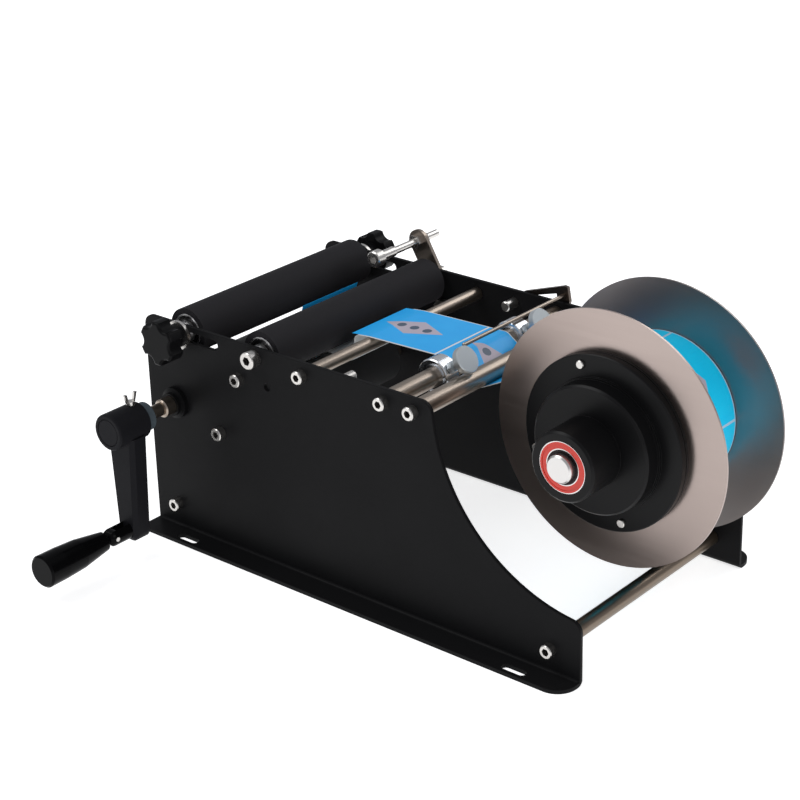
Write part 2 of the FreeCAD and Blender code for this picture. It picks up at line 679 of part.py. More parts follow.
def star_knob(label, near):
    """A moulded star knob: a round head with scooped valleys, on a narrower boss."""
    body = new_body(label)
    head = new_sketch(body, "YZ_Plane", label + "_head", size.knob_boss_length)
    draw_circle(head, 0, 0, size.knob_radius * 2)
    pad(body, head, size.knob_thickness)
    boss = new_sketch(body, "YZ_Plane", label + "_boss")
    draw_circle(boss, 0, 0, size.knob_boss_diameter)
    pad(body, boss, size.knob_boss_length + size.knob_thickness / 2)
    valley = new_sketch(body, "YZ_Plane", label + "_valley", size.knob_boss_length)
    draw_circle(valley, size.knob_valley_distance, 0, size.knob_valley_radius * 2)
    scoop = pocket(body, valley, size.knob_thickness, reverse=True)
    ring = body.newObject("PartDesign::PolarPattern", label + "_valleys")
    ring.Originals = [scoop]
    ring.Axis = (valley, ["N_Axis"])
    ring.Angle = 360
    ring.setExpression("Occurrences", size.knob_lobes.text)
    body.Tip = ring
    face_x = number(size.knob_boss_length + size.knob_thickness)
    round_edges(body, size.knob_edge,
                lambda edge: all(abs(v.X - face_x) < 1e-4 for v in edge.Vertexes))
    bore = new_sketch(body, "YZ_Plane", label + "_bore")
    draw_circle(bore, 0, 0, size.clamp_shaft_diameter + size.knob_play * 2)
    pocket(body, bore, size.knob_boss_length + size.knob_thickness * 0.75, reverse=True)
    gauge = size.clamp_washer_gauge
    if near:
        place(body, AGAINST_Y, size.rear_roller_x, NEAR_FACE - gauge,
              size.roller_z)
    else:
        place(body, ALONG_Y, size.rear_roller_x, FAR_FACE + gauge, size.roller_z)
    keep(body, label)


# -------------------------------------------------------------------------------- crank drive

def crank_bearings():
    """Black flange bearings on the outside of both plates, each with a steel bush."""
    flange = size.crank_bearing_flange
    boss = size.crank_bearing_boss_length
    hole = size.crank_bush_diameter / 2 + size.tapped_gap
    rim = size.crank_bearing_diameter / 2
    housing = [(0, hole), (flange + boss, hole), (flange + boss, size.crank_bearing_boss / 2),
               (flange, size.crank_bearing_boss / 2), (flange - 1, rim), (0, rim)]
    bush_start = -size.plate_gauge
    bush = [(bush_start, size.crank_shaft_diameter / 2 + size.shaft_play),
            (size.crank_bush_length, size.crank_shaft_diameter / 2 + size.shaft_play),
            (size.crank_bush_length, size.crank_bush_diameter / 2 - 1),
            (size.crank_bush_length - 1, size.crank_bush_diameter / 2),
            (bush_start, size.crank_bush_diameter / 2)]
    for name, profile in (("crank_flange_bearing", housing), ("crank_shaft_bush", bush)):
        near = turned("near_" + name, profile, AGAINST_Y, size.crank_x, NEAR_FACE, size.crank_z,
                      False)
        far = turned("far_" + name, profile, ALONG_Y, size.crank_x, FAR_FACE, size.crank_z,
                     False)
        compound(name + ("es" if name.endswith("sh") else "s"), [near, far])


def crank_shaft():
    """Runs from the crank hub through both bearings to a stop ring on the far side."""
    start = NEAR_FACE - size.crank_hub_start - size.crank_hub_length + size.crank_cap_depth
    finish = FAR_FACE + size.crank_bush_length + size.far_stop_ring_width
    turned("crank_shaft", rod_profile(finish - start, size.crank_shaft_diameter), ALONG_Y,
           size.crank_x, start, size.crank_z)
    bore = size.crank_shaft_diameter + size.tapped_gap
    clamp = turned("near_shaft_ring",
                   tube_profile(size.clamp_ring_width, size.clamp_ring_diameter, bore),
                   ALONG_Y, size.crank_x, NEAR_FACE - size.crank_hub_start, size.crank_z, False)
    stop = turned("far_shaft_ring",
                  tube_profile(size.far_stop_ring_width - size.spacer_play,
                               size.far_stop_ring_diameter, bore),
                  ALONG_Y, size.crank_x, FAR_FACE + size.crank_bush_length + size.spacer_play,
                  size.crank_z, False)
    compound("crank_shaft_rings", [clamp, stop])


def crank_arm():
    """Hub and tapered arm in one casting, bored for the shaft and for the handle pivot."""
    label = "crank_arm"
    body = new_body(label)
    hub_rim = size.crank_hub_diameter / 2
    hub = new_sketch(body, "XZ_Plane", label + "_hub")
    draw_circle(hub, 0, 0, size.crank_hub_diameter)
    pad(body, hub, size.crank_hub_length)
    arm = new_sketch(body, "XZ_Plane", label + "_profile",
                     size.crank_arm_start - size.crank_hub_start)
    top = size.crank_arm_top_width / 2
    low = size.crank_arm_end_width / 2
    draw_polygon(arm, [(-low, -size.crank_throw - low), (low, -size.crank_throw - low),
                       (top, -hub_rim / 2), (-top, -hub_rim / 2)])
    pad(body, arm, size.crank_arm_thickness)
    foot_z = -size.crank_throw - low
    round_edges(body, low * 0.8,
                lambda edge: edge_at("y", x=low, z=foot_z)(edge)
                or edge_at("y", x=-low, z=foot_z)(edge))
    face_y = number(-(size.crank_arm_start - size.crank_hub_start) - size.crank_arm_thickness)
    hub_y = number(-size.crank_hub_length)
    round_edges(body, size.crank_arm_chamfer,
                lambda edge: edge.Curve.TypeId == "Part::GeomLine"
                and abs(edge.tangentAt(0).y) < 1e-6
                and all(abs(v.Y - face_y) < 1e-4 for v in edge.Vertexes)
                and edge.CenterOfMass.z < -number(hub_rim),
                "PartDesign::Chamfer")
    round_edges(body, 1.5, lambda edge: all(abs(v.Y - hub_y) < 1e-4 for v in edge.Vertexes))
    bore = new_sketch(body, "XZ_Plane", label + "_bore")
    draw_circle(bore, 0, 0, size.crank_shaft_diameter + size.tapped_gap)
    pocket(body, bore)
    recess = new_sketch(body, "XZ_Plane", label + "_cap_recess", size.crank_hub_length)
    draw_circle(recess, 0, 0, size.crank_cap_diameter)
    pocket(body, recess, size.crank_cap_depth)
    tap = new_sketch(body, "XY_Plane", label + "_screw_hole")
    draw_circle(tap, 0, -size.wing_screw_offset, size.wing_screw_diameter + size.tapped_gap * 2)
    pocket(body, tap, size.crank_hub_diameter, reverse=True)
    place(body, NO_TURN, size.crank_x, NEAR_FACE - size.crank_hub_start, size.crank_z)
    keep(body, label)
    cap = size.crank_cap_diameter - size.crank_cap_gap * 2
    turned("crank_hub_cap", rod_profile(size.crank_cap_depth, cap, 0.6), ALONG_Y,
           size.crank_x, NEAR_FACE - size.crank_hub_start - size.crank_hub_length,
           size.crank_z)


def wing_screw():
    """The small winged screw that pinches the crank onto its shaft."""
    label = "crank_wing_screw"
    foot = size.crank_shaft_diameter / 2 + size.tapped_gap
    top = size.crank_hub_diameter / 2 + size.wing_screw_height / 3
    rim = size.wing_screw_diameter / 2
    body = new_body(label)
    section = new_sketch(body, "XY_Plane", label + "_section")
    hub_top = size.crank_hub_diameter / 2 + 0.3
    draw_polygon(section, [(foot, 0), (top, 0), (top, rim * 1.6), (hub_top, rim * 1.6),
                           (hub_top, rim), (foot, rim)])
    revolve = body.newObject("PartDesign::Revolution", label + "_turned")
    revolve.Profile = section
    revolve.ReferenceAxis = (section, ["H_Axis"])
    wings = new_sketch(body, "XY_Plane", label + "_wings")
    tip = size.crank_hub_diameter / 2 + size.wing_screw_height
    inner = size.wing_span / 5
    outer = size.wing_span / 2
    for side in (-1, 1):
        draw_polygon(wings, [(hub_top + 1, 0), (top, inner * side), (tip, inner * side * 1.5),
                             (tip, outer * side), (hub_top + 1.5, inner * side * 1.6)])
        pad(body, wings, size.wing_gauge, middle=True)
        if side < 0:
            wings = new_sketch(body, "XY_Plane", label + "_wing")
    place(body, UPRIGHT, size.crank_x,
          NEAR_FACE - size.crank_hub_start - size.wing_screw_offset, size.crank_z)
    keep(body, label)


def folding_handle():
    """Neck with a tongue on a pin in the arm's fork, and a tapered grip turning on its spindle."""
    pivot_y = NEAR_FACE - size.crank_arm_start - size.crank_arm_thickness - size.handle_pivot_drop
    axis_z = size.crank_z - size.crank_throw
    arm_face = pivot_y + size.handle_pivot_drop
    neck = size.handle_neck_diameter
    # fork: two cheeks standing on the arm's face
    fork = new_body("crank_handle_fork")
    cheek = new_sketch(fork, "XZ_Plane", "fork_round")
    draw_circle(cheek, 0, 0, neck)
    pad(fork, cheek, size.handle_pivot_drop + size.handle_neck_diameter / 2)
    end_y = -number(size.handle_pivot_drop + size.handle_neck_diameter / 2)
    round_edges(fork, size.handle_neck_diameter / 2 - 0.6,
                lambda edge: all(abs(v.Y - end_y) < 1e-4 for v in edge.Vertexes))
    groove = new_sketch(fork, "XZ_Plane", "fork_groove")
    half = size.handle_tongue / 2
    draw_polygon(groove, [(-half, -neck), (half, -neck), (half, neck), (-half, neck)])
    pocket(fork, groove)
    hole = new_sketch(fork, "YZ_Plane", "fork_pin_hole")
    draw_circle(hole, -size.handle_pivot_drop, 0, size.handle_pin_diameter + size.shaft_play * 2)
    pocket(fork, hole)
    place(fork, NO_TURN, size.crank_x, arm_face, axis_z)
    keep(fork, "crank_handle_fork")
    turned("handle_pin", rod_profile(neck - 0.4, size.handle_pin_diameter, 0.4), NO_TURN,
           size.crank_x - neck / 2 + 0.2, pivot_y, axis_z)
    # tongue and spindle
    label = "handle_spindle"
    body = new_body(label)
    thick = size.handle_tongue - size.handle_tongue_gap * 2
    eye = new_sketch(body, "YZ_Plane", label + "_eye")
    radius = size.handle_neck_diameter / 2 - 1.2
    draw_circle(eye, 0, 0, radius * 2)
    pad(body, eye, thick, middle=True)
    stem = new_sketch(body, "XZ_Plane", label + "_stem")
    draw_circle(stem, 0, 0, size.handle_spindle_diameter)
    pad(body, stem, size.grip_start + size.grip_length * 0.9)
    hole = new_sketch(body, "YZ_Plane", label + "_pin_hole")
    draw_circle(hole, 0, 0, size.handle_pin_diameter + size.shaft_play * 2)
    pocket(body, hole)
    place(body, NO_TURN, size.crank_x, pivot_y, axis_z)
    keep(body, label)
    # grip, turned with a swelling end
    start = size.grip_start
    bore = size.handle_spindle_diameter / 2 + size.grip_play / 2
    depth = size.grip_length * 0.92
    thin = size.grip_neck_diameter / 2
    thick = size.grip_end_diameter / 2
    length = size.grip_length
    profile = [(0, bore), (depth, bore), (depth, 0), (length, 0), (length, thick - 1.5),
               (length - 1.5, thick), (length * 0.72, thick - 0.2), (length * 0.42, thick - 1.2),
               (1, thin), (0, thin - 1)]
    turned("handle_grip", profile, AGAINST_Y, size.crank_x,
           pivot_y - start, axis_z)


def feed_rollers():
    """The driven rubber roller on the crank shaft and the pinch roller it runs against."""
    start = -size.feed_roller_length / 2
    turned("feed_roller_core",
           tube_profile(size.feed_roller_length, size.feed_core_diameter,
                        size.crank_shaft_diameter + size.tapped_gap),
           ALONG_Y, size.crank_x, start, size.crank_z)
    turned("feed_roller_rubber",
           tube_profile(size.feed_roller_length, size.feed_roller_diameter,
                        size.feed_core_diameter + size.roller_sleeve_gap * 2),
           ALONG_Y, size.crank_x, start, size.crank_z)
    start = -size.pinch_length / 2
    turned("pinch_roller_core",
           tube_profile(size.pinch_length, size.pinch_core_diameter,
                        size.pinch_shaft_diameter + size.shaft_play * 2),
           ALONG_Y, size.pinch_x, start, size.pinch_z)
    turned("pinch_roller_rubber",
           tube_profile(size.pinch_length, size.pinch_roller_diameter,
                        size.pinch_core_diameter + size.roller_sleeve_gap * 2),
           ALONG_Y, size.pinch_x, start, size.pinch_z)


# --------------------------------------------------------------------------------- label reel

def reel_spindle():
    """A fixed spindle shouldered against the far plate and held by a nut outside it."""
    near_end = size.spindle_end_y
    shoulder = FAR_INSIDE - size.spindle_collar_length
    rim = size.spindle_diameter / 2
    collar = size.spindle_collar_diameter / 2
    stud = size.spindle_stud_diameter / 2
    inside = FAR_INSIDE - near_end
    bevel = 1.2
    profile = [(0, 0), (inside + size.spindle_stud_length, 0),
               (inside + size.spindle_stud_length, stud), (inside, stud), (inside, collar),
               (shoulder - near_end, collar), (shoulder - near_end, rim), (bevel, rim),
               (0, rim - bevel)]
    turned("reel_spindle", profile, ALONG_Y, size.reel_x, near_end, size.reel_z)
    hex_nut("spindle_nut", size.spindle_nut_width, size.spindle_nut_height,
            size.spindle_stud_diameter + size.tapped_gap * 2, size.reel_x, FAR_FACE,
            size.reel_z, True)


def reel_disc(label, y, bore):
    turned(label, tube_profile(size.disc_gauge, size.disc_diameter, bore), ALONG_Y,
           size.reel_x, y, size.reel_z)


def near_reel_hub():
    """The stepped black hub that is pushed onto the spindle to clamp a label roll."""
    seat = size.reel_bearing_diameter / 2 + size.bearing_fit
    relief = size.hub_bore_relief / 2
    width = size.reel_bearing_width
    nose = size.nose_length
    hub = nose + size.hub_length
    step = hub + size.step_length
    flange = step + size.reel_flange_thickness
    end = flange + size.disc_gauge + size.plug_length
    start = NEAR_DISC_BACK - size.disc_gauge - flange
    rim = size.reel_flange_diameter / 2
    groove = step + size.reel_flange_thickness * 0.6
    bevel = 1.5
    recess = size.nose_recess
    profile = [(0, seat), (width + recess, seat), (width + recess, relief),
               (end - width, relief), (end - width, seat), (end, seat),
               (end, size.drum_diameter / 2 - bevel), (end - bevel, size.drum_diameter / 2),
               (flange, size.drum_diameter / 2), (flange, rim),
               (groove + size.flange_groove_width, rim),
               (groove + size.flange_groove_width, rim - size.flange_groove_depth),
               (groove, rim - size.flange_groove_depth), (groove, rim),
               (step + bevel / 2, rim),
               (step, rim - bevel / 2),
               (step, size.step_diameter / 2), (hub, size.step_diameter / 2),
               (hub, size.hub_diameter / 2), (nose + bevel, size.hub_diameter / 2),
               (nose, size.hub_diameter / 2 - bevel), (nose, size.nose_diameter / 2),
               (bevel, size.nose_diameter / 2), (0, size.nose_diameter / 2 - bevel)]
    turned("near_reel_hub", profile, ALONG_Y, size.reel_x, start, size.reel_z)
    reel_disc("near_reel_disc", NEAR_DISC_BACK - size.disc_gauge,
              size.drum_diameter + size.tapped_gap)
    bearing = roller_bearing_profile(width, size.reel_bearing_diameter,
                                     size.spindle_diameter + size.shaft_play * 2,
                                     size.bearing_shield / 2)
    outer = turned("nose_bearing", bearing, ALONG_Y, size.reel_x, start + recess, size.reel_z,
                   False)
    inner = turned("plug_bearing", bearing, ALONG_Y, size.reel_x, start + end - width,
                   size.reel_z, False)
    compound("near_reel_bearings", [outer, inner])
    screws = []
    head = size.reel_screw_head / 2
    for index in range(int(number(size.reel_screw_count))):
        turn = math.radians(number(size.reel_screw_angle + size.reel_screw_step_angle * index))
        ring = size.reel_screw_circle / 2
        screws.append(turned(f"reel_screw_{index + 1}",
                             [(0, 0), (size.reel_screw_head_height, 0),
                              (size.reel_screw_head_height, head), (0.5, head), (0, head - 0.5)],
                             ALONG_Y, size.reel_x + ring * math.cos(turn),
                             start + step - size.reel_screw_head_height,
                             size.reel_z + ring * math.sin(turn), False))
    compound("near_reel_screws", screws)


def far_reel_hub():
    """Drum, flange and boss in one turned piece, on two bearings along the spindle."""
    seat = size.reel_bearing_diameter / 2 + size.bearing_fit
    relief = size.hub_bore_relief / 2
    width = size.reel_bearing_width
    drum = size.drum_length
    disc = drum + size.disc_gauge
    flange = disc + size.far_flange_thickness
    end = flange + size.far_boss_length
    bevel = 1.5
    start = FAR_DISC_FRONT - drum
    profile = [(0, seat), (width, seat), (width, relief), (end - width, relief),
               (end - width, seat), (end, seat), (end, size.far_boss_diameter / 2),
               (flange, size.far_boss_diameter / 2), (flange, size.far_flange_diameter / 2),
               (disc, size.far_flange_diameter / 2), (disc, size.drum_diameter / 2),
               (bevel, size.drum_diameter / 2), (0, size.drum_diameter / 2 - bevel)]
    turned("far_reel_hub", profile, ALONG_Y, size.reel_x, start, size.reel_z)
    reel_disc("far_reel_disc", FAR_DISC_FRONT, size.drum_diameter + size.tapped_gap)
    bearing = roller_bearing_profile(width, size.reel_bearing_diameter,
                                     size.spindle_diameter + size.shaft_play * 2,
                                     size.bearing_shield / 2)
    drum_bearing = turned("drum_bearing", bearing, ALONG_Y, size.reel_x, start, size.reel_z,
                          False)
    boss_bearing = turned("boss_bearing", bearing, ALONG_Y, size.reel_x, start + end - width,
                          size.reel_z, False)
    compound("far_reel_bearings", [drum_bearing, boss_bearing])


def label_roll():
    turned("label_roll_core",
           tube_profile(size.roll_width + size.near_side_room, size.core_diameter,
                        size.core_bore), ALONG_Y,
           size.reel_x, CORE_NEAR, size.reel_z)
    turned("label_roll",
           tube_profile(size.roll_width, size.roll_diameter,
                        size.core_diameter + size.core_play / 3),
           ALONG_Y, size.reel_x, ROLL_NEAR, size.reel_z)


# ---------------------------------------------------------------------------------- label web

def web_guides():
    """Every round thing that the web turns on, from the roll to the feed nip.

    Each is (x, z, radius, turn): turn is +1 where the web runs over it on its way to -X and
    -1 where it runs under it. The radius reaches to the middle of the web.
    """
    lift = number(size.web_gap) + number(size.web_gauge) / 2
    slack = number(size.web_slack_radius)
    guide_z = number(size.guide_z)
    upper = number(size.guide_bar_diameter) / 2 + lift
    rod = number(size.guide_rod_diameter) / 2 + lift
    slack_x = number(size.web_slack_x)
    slack_z = guide_z + upper - slack - number(size.web_slack_dip)
    edge_x = number(size.peel_bar_x - size.peel_bar_diameter / 2 - size.peel_plate_gauge / 2)
    edge = number(size.peel_plate_gauge) / 2
    return [
        (number(size.reel_x), number(size.reel_z), number(size.roll_diameter) / 2 + lift, 1),
        (number(size.front_rod_x), guide_z, rod, -1),
        (number(size.collar_rod_x), guide_z, rod, 1),
        (number(size.upper_guide_x), guide_z, upper, 1),
        (slack_x + slack, slack_z, slack, 1),
        (slack_x - slack, slack_z - number(size.web_slack_drop), slack, -1),
        (number(size.front_roller_x), number(size.roller_z),
         number(size.roller_diameter) / 2 + lift, -1),
        (edge_x, number(size.peel_plate_top) - edge, edge + lift, 1),
        (number(size.pinch_x), number(size.pinch_z),
         number(size.pinch_roller_diameter) / 2 + lift, 1),
    ]


def tangent_points(first, second):
    """Where a belt leaves the first circle and reaches the second, going to -X."""
    x1, z1, radius1, turn1 = first
    x2, z2, radius2, turn2 = second
    dx = x2 - x1
    dz = z2 - z1
    distance = math.hypot(dx, dz)
    heading = math.atan2(dz, dx)
    swing = math.asin((turn1 * radius1 - turn2 * radius2) / distance)
    along = heading + swing
    leave = along - turn1 * math.pi / 2
    reach = along - turn2 * math.pi / 2
    return ((x1 + radius1 * math.cos(leave), z1 + radius1 * math.sin(leave)),
            (x2 + radius2 * math.cos(reach), z2 + radius2 * math.sin(reach)))


def web_side(guides, outside):
    """One face of the web as lines and arcs, outside millimetres to the left of its middle."""
    shifted = [(x, z, radius - turn * outside, turn) for x, z, radius, turn in guides]
    spans = [tangent_points(a, b) for a, b in zip(shifted, shifted[1:])]
    x, z, radius, turn = shifted[-1]
    spans.append(((x - radius, z), (x - radius, z - number(size.web_tail))))
    points = [Vector(spans[0][0][0], 0, spans[0][0][1])]
    edges = []
    for index, (leave, reach) in enumerate(spans):
        start = Vector(leave[0], 0, leave[1])
        finish = Vector(reach[0], 0, reach[1])
        edges.append(Part.LineSegment(start, finish).toShape())
        points.append(finish)
        if index + 1 < len(spans):
            x, z, radius, turn = shifted[index + 1]
            centre = Vector(x, 0, z)
            after = Vector(spans[index + 1][0][0], 0, spans[index + 1][0][1])
            middle = (finish - centre).normalize() + (after - centre).normalize()
            middle = centre + middle.normalize() * radius
            edges.append(Part.Arc(finish, middle, after).toShape())
    return points[0], points[-1], edges


def label_web():
    """The backing paper with its labels, a strip that follows the guides to the feed nip."""
    guides = web_guides()
    half = number(size.web_gauge) / 2
    first_start, first_end, one_side = web_side(guides, half)
    other_start, other_end, other_side = web_side(guides, -half)
    ends = [Part.LineSegment(first_start, other_start).toShape(),
            Part.LineSegment(first_end, other_end).toShape()]
    loop = Part.Wire(Part.__sortEdges__(one_side + other_side + ends))
    strip = Part.Face(loop).extrude(Vector(0, number(size.roll_width), 0))
    web = doc.addObject("Part::Feature", "label_web_strip")
    web.Shape = strip
    web.Placement = Placement(Vector(0, number(ROLL_NEAR), 0), Rotation())
    keep(web, "label_web")


# ------------------------------------------------------------------------------ guide collars

def guide_collar(side, offset):
    """A chromed ring that slides on its rod, and the thumb screw that locks it."""
    label = f"{side}_guide_collar"
    near = side == "near"
    width = size.collar_width
    bore = size.guide_rod_diameter / 2 + size.shaft_play
    rim = size.collar_diameter / 2
    recess = size.collar_recess
    bevel = 0.8
    body = new_body(label)
    section = new_sketch(body, "XY_Plane", label + "_section")
    draw_polygon(section, [(0, bore), (width, bore), (width, rim - bevel), (width - bevel, rim),
                           (bevel, rim), (0, rim - bevel),
                           (0, size.collar_recess_diameter / 2),
                           (recess, size.collar_recess_diameter / 2),
                           (recess, size.collar_lip_diameter / 2),
                           (0, size.collar_lip_diameter / 2)])
    revolve = body.newObject("PartDesign::Revolution", label + "_turned")
    revolve.Profile = section
    revolve.ReferenceAxis = (section, ["H_Axis"])
    tap = new_sketch(body, "XZ_Plane", label + "_screw_hole")
    draw_circle(tap, width / 2, 0, size.thumb_stem_diameter + size.tapped_gap * 2)
    pocket(body, tap, rim + 1, reverse=True)
    angle = number(size.thumb_angle)
    turn = Rotation(Vector(0, 1, 0), -angle).multiply(ALONG_Y)
    place(body, turn, size.collar_rod_x, size.reel_offset_y + offset - width / 2, size.guide_z)
    keep(body, label)

    label = f"{side}_thumb_screw"
    stem = size.thumb_stem_diameter / 2
    foot = bore + 0.6
    top = size.thumb_stem_top
    boss = rim + 0.4
    screw = new_body(label)
    section = new_sketch(screw, "XY_Plane", label + "_section")
    draw_polygon(section, [(foot, 0), (top + size.thumb_knob_thickness, 0),
                           (top + size.thumb_knob_thickness, size.thumb_knob_diameter / 2 - 0.6),
                           (top + size.thumb_knob_thickness - 0.6, size.thumb_knob_diameter / 2),
                           (top, size.thumb_knob_diameter / 2),
                           (top, size.thumb_ring_diameter / 2),
                           (top - 3, size.thumb_ring_diameter / 2), (top - 3, stem), (foot, stem)])
    revolve = screw.newObject("PartDesign::Revolution", label + "_turned")
    revolve.Profile = section
    revolve.ReferenceAxis = (section, ["H_Axis"])
    hexagon = new_sketch(screw, "YZ_Plane", label + "_hexagon", boss)
    half = size.thumb_boss_width / 2
    across = size.thumb_boss_width / math.sqrt(3)
    draw_polygon(hexagon, [(across, 0), (across / 2, half), (-across / 2, half), (-across, 0),
                           (-across / 2, -half), (across / 2, -half)])
    pad(screw, hexagon, size.thumb_boss_height)
    place(screw, Rotation(Vector(0, 1, 0), -angle), size.collar_rod_x,
          size.reel_offset_y + offset, size.guide_z)
    keep(screw, label)


# ---------------------------------------------------------------------- hold-down and stop

def hold_down():
    """A sheet lever that pivots on the guide rod's end screw and carries a thin rod."""
    label = "hold_down_lever"
    body = new_body(label)
    outline = new_sketch(body, "XZ_Plane", label + "_outline")
    head = size.lever_head_radius
    rise = size.lever_rod_rise
    lean = size.lever_rod_lean
    half = size.lever_leg_width / 2
    top = rise + size.lever_tab_width
    tip_x = lean - size.lever_tip_reach
    draw_polygon(outline, [(-half, 0), (half, -head / 2), (lean + half, rise - 4),
                           (lean + half - 2, top), (lean, top + 0.5),
                           (tip_x, rise - size.lever_tip_drop + 2),
                           (tip_x + 3, rise - size.lever_tip_drop - 1),
                           (lean - half - 1, top - size.lever_tab_width),
                           (lean - half, rise - size.lever_tab_width)])
    pad(body, outline, size.lever_gauge, reverse=True)
    eye = new_sketch(body, "XZ_Plane", label + "_eye")
    draw_circle(eye, 0, 0, head * 2)
    pad(body, eye, size.lever_gauge, reverse=True)
    holes = new_sketch(body, "XZ_Plane", label + "_holes")
    draw_circle(holes, 0, 0, size.screw_diameter + size.shaft_play * 2)
    draw_circle(holes, lean, rise, size.hold_rod_diameter + size.tapped_gap)
    pocket(body, holes)
    place(body, NO_TURN, size.collar_rod_x, FAR_FACE + size.lever_gap, size.guide_z)
    keep(body, label)
    start = FAR_FACE + size.lever_gap + size.lever_gauge + size.hold_rod_tail - size.hold_rod_reach
    turned("hold_down_rod", rod_profile(size.hold_rod_reach, size.hold_rod_diameter, 0.7),
           ALONG_Y, size.collar_rod_x + lean, start, size.guide_z + rise)


def bottle_stop():
    """A flat bar on the far plate whose long screw meets the end of the bottle."""
    label = "bottle_stop_bar"
    body = new_body(label)
    bar = new_sketch(body, "XZ_Plane", label + "_outline")
    length = size.stop_length + STOP_RISE
    draw_slot(bar, 0, length, 0, size.stop_width)
    pad(body, bar, size.stop_gauge, reverse=True)
    holes = new_sketch(body, "XZ_Plane", label + "_holes")
    draw_circle(holes, 0, 0, size.screw_hole)
    draw_circle(holes, STOP_RISE, 0, size.roller_screw_hole)
    draw_circle(holes, length, 0, size.stop_screw_diameter + size.stop_play * 2)
    pocket(body, holes)
    lean = math.degrees(math.atan2(number(STOP_CLIMB), number(STOP_RUN)))
    place(body, Rotation(Vector(0, 1, 0), -lean), size.stop_foot_x, FAR_FACE, size.stop_foot_z)
    keep(body, label)

    label = "bottle_stop_screw"
    screw = new_body(label)
    section = new_sketch(screw, "XY_Plane", label + "_section")
    head = size.stop_head_height
    shoulder = head + size.stop_shoulder_length
    end = head + size.stop_screw_length
    rim = size.stop_screw_diameter / 2
    draw_polygon(section, [(0, 0), (end, 0), (end, rim - 0.8), (end - 0.8, rim),
                           (shoulder, rim), (shoulder, size.stop_shoulder_diameter / 2),
                           (head, size.stop_shoulder_diameter / 2),
                           (head, size.stop_head_diameter / 2),
                           (0.8, size.stop_head_diameter / 2),
                           (0, size.stop_head_diameter / 2 - 0.8)])
    revolve = screw.newObject("PartDesign::Revolution", label + "_turned")
    revolve.Profile = section
    revolve.ReferenceAxis = (section, ["H_Axis"])
    recess = new_sketch(screw, "YZ_Plane", label + "_socket")
    half = size.roller_screw_socket_width / 2
    across = size.roller_screw_socket_width / math.sqrt(3)
    draw_polygon(recess, [(across, 0), (across / 2, half), (-across / 2, half), (-across, 0),
                          (-across / 2, -half), (across / 2, -half)])
    pocket(screw, recess, size.screw_socket_depth, reverse=True)
    place(screw, ALONG_Y, STOP_TOP_X, size.stop_screw_near, STOP_TOP_Z)
    keep(screw, label)
    bore = size.stop_screw_diameter + size.stop_play * 2
    near = hex_nut("stop_near_nut", size.stop_nut_width, size.stop_nut_height, bore,
                   STOP_TOP_X, FAR_FACE - size.stop_nut_height, STOP_TOP_Z, False)
    far = hex_nut("stop_far_nut", size.stop_nut_width, size.stop_nut_height, bore,
                  STOP_TOP_X, FAR_FACE + size.stop_gauge, STOP_TOP_Z, False)
    foot = hex_nut("stop_foot_nut", size.stop_nut_width, size.stop_nut_height,
                   size.screw_diameter + size.tapped_gap * 2, size.stop_foot_x,
                   FAR_INSIDE - size.stop_nut_height, size.stop_foot_z, False)
    compound("bottle_stop_nuts", [near, far, foot])


# ------------------------------------------------------------------------------ build and save

def build():
    side_plate("near_side_plate", -1)
    side_plate("far_side_plate", 1)
    bars_and_rods()
    plate_screws()
    peel_plate()
    guide_pins()
    bottle_roller("front", size.front_roller_x)
    bottle_roller("rear", size.rear_roller_x)
    rear_roller_shaft()
    clamp_washers()
    star_knob("near_star_knob", True)
    star_knob("far_star_knob", False)
    crank_bearings()
    crank_shaft()
    crank_arm()
    wing_screw()
    folding_handle()
    feed_rollers()
    reel_spindle()
    near_reel_hub()
    far_reel_hub()
    label_roll()
    label_web()
    guide_collar("near", size.near_collar_offset)
    guide_collar("far", size.far_collar_offset)
    hold_down()
    bottle_stop()
    doc.recompute()


def check_and_save():
    for thing in doc.Objects:
        if "Invalid" in thing.State or "Error" in thing.State:
            raise RuntimeError(f"{thing.Name} is {thing.State}")
    os.makedirs("parts", exist_ok=True)
    for thing in SUB_PARTS:
        shape = thing.Shape
        if shape.isNull() or not shape.isValid() or not shape.Solids:
            raise RuntimeError(f"{thing.Label} has no valid solid")
        shape.exportStep(f"parts/{thing.Label}.step")
        print(f"{thing.Label}: {len(shape.Solids)} solid(s), {shape.Volume / 1000:.2f} cm3")
    print(len(SUB_PARTS), "sub-parts")


build()
check_and_save()
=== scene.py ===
# %% [markdown]
# # A hand-cranked bottle labelling machine
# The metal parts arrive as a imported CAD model. This lesson dresses them: each part gets the
# finish that it has in the workshop, and the thin things that CAD leaves plain, such as the
# printed labels and the coloured bearing seals, are modelled here.

# %% Load the CAD model
import bpy
import math
from mathutils import Matrix, Vector


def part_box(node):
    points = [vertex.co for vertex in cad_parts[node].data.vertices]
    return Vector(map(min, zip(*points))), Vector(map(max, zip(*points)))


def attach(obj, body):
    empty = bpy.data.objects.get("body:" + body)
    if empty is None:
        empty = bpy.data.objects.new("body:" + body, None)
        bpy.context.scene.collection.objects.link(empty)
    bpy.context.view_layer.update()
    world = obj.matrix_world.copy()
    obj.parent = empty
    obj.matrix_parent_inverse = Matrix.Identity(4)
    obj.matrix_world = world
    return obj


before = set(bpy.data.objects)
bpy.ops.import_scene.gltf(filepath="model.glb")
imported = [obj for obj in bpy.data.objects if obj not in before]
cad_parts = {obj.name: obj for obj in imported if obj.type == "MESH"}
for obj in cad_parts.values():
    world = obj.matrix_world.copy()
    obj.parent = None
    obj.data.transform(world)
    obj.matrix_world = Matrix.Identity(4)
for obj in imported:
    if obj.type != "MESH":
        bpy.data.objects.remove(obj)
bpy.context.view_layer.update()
bpy.ops.object.select_all(action="DESELECT")

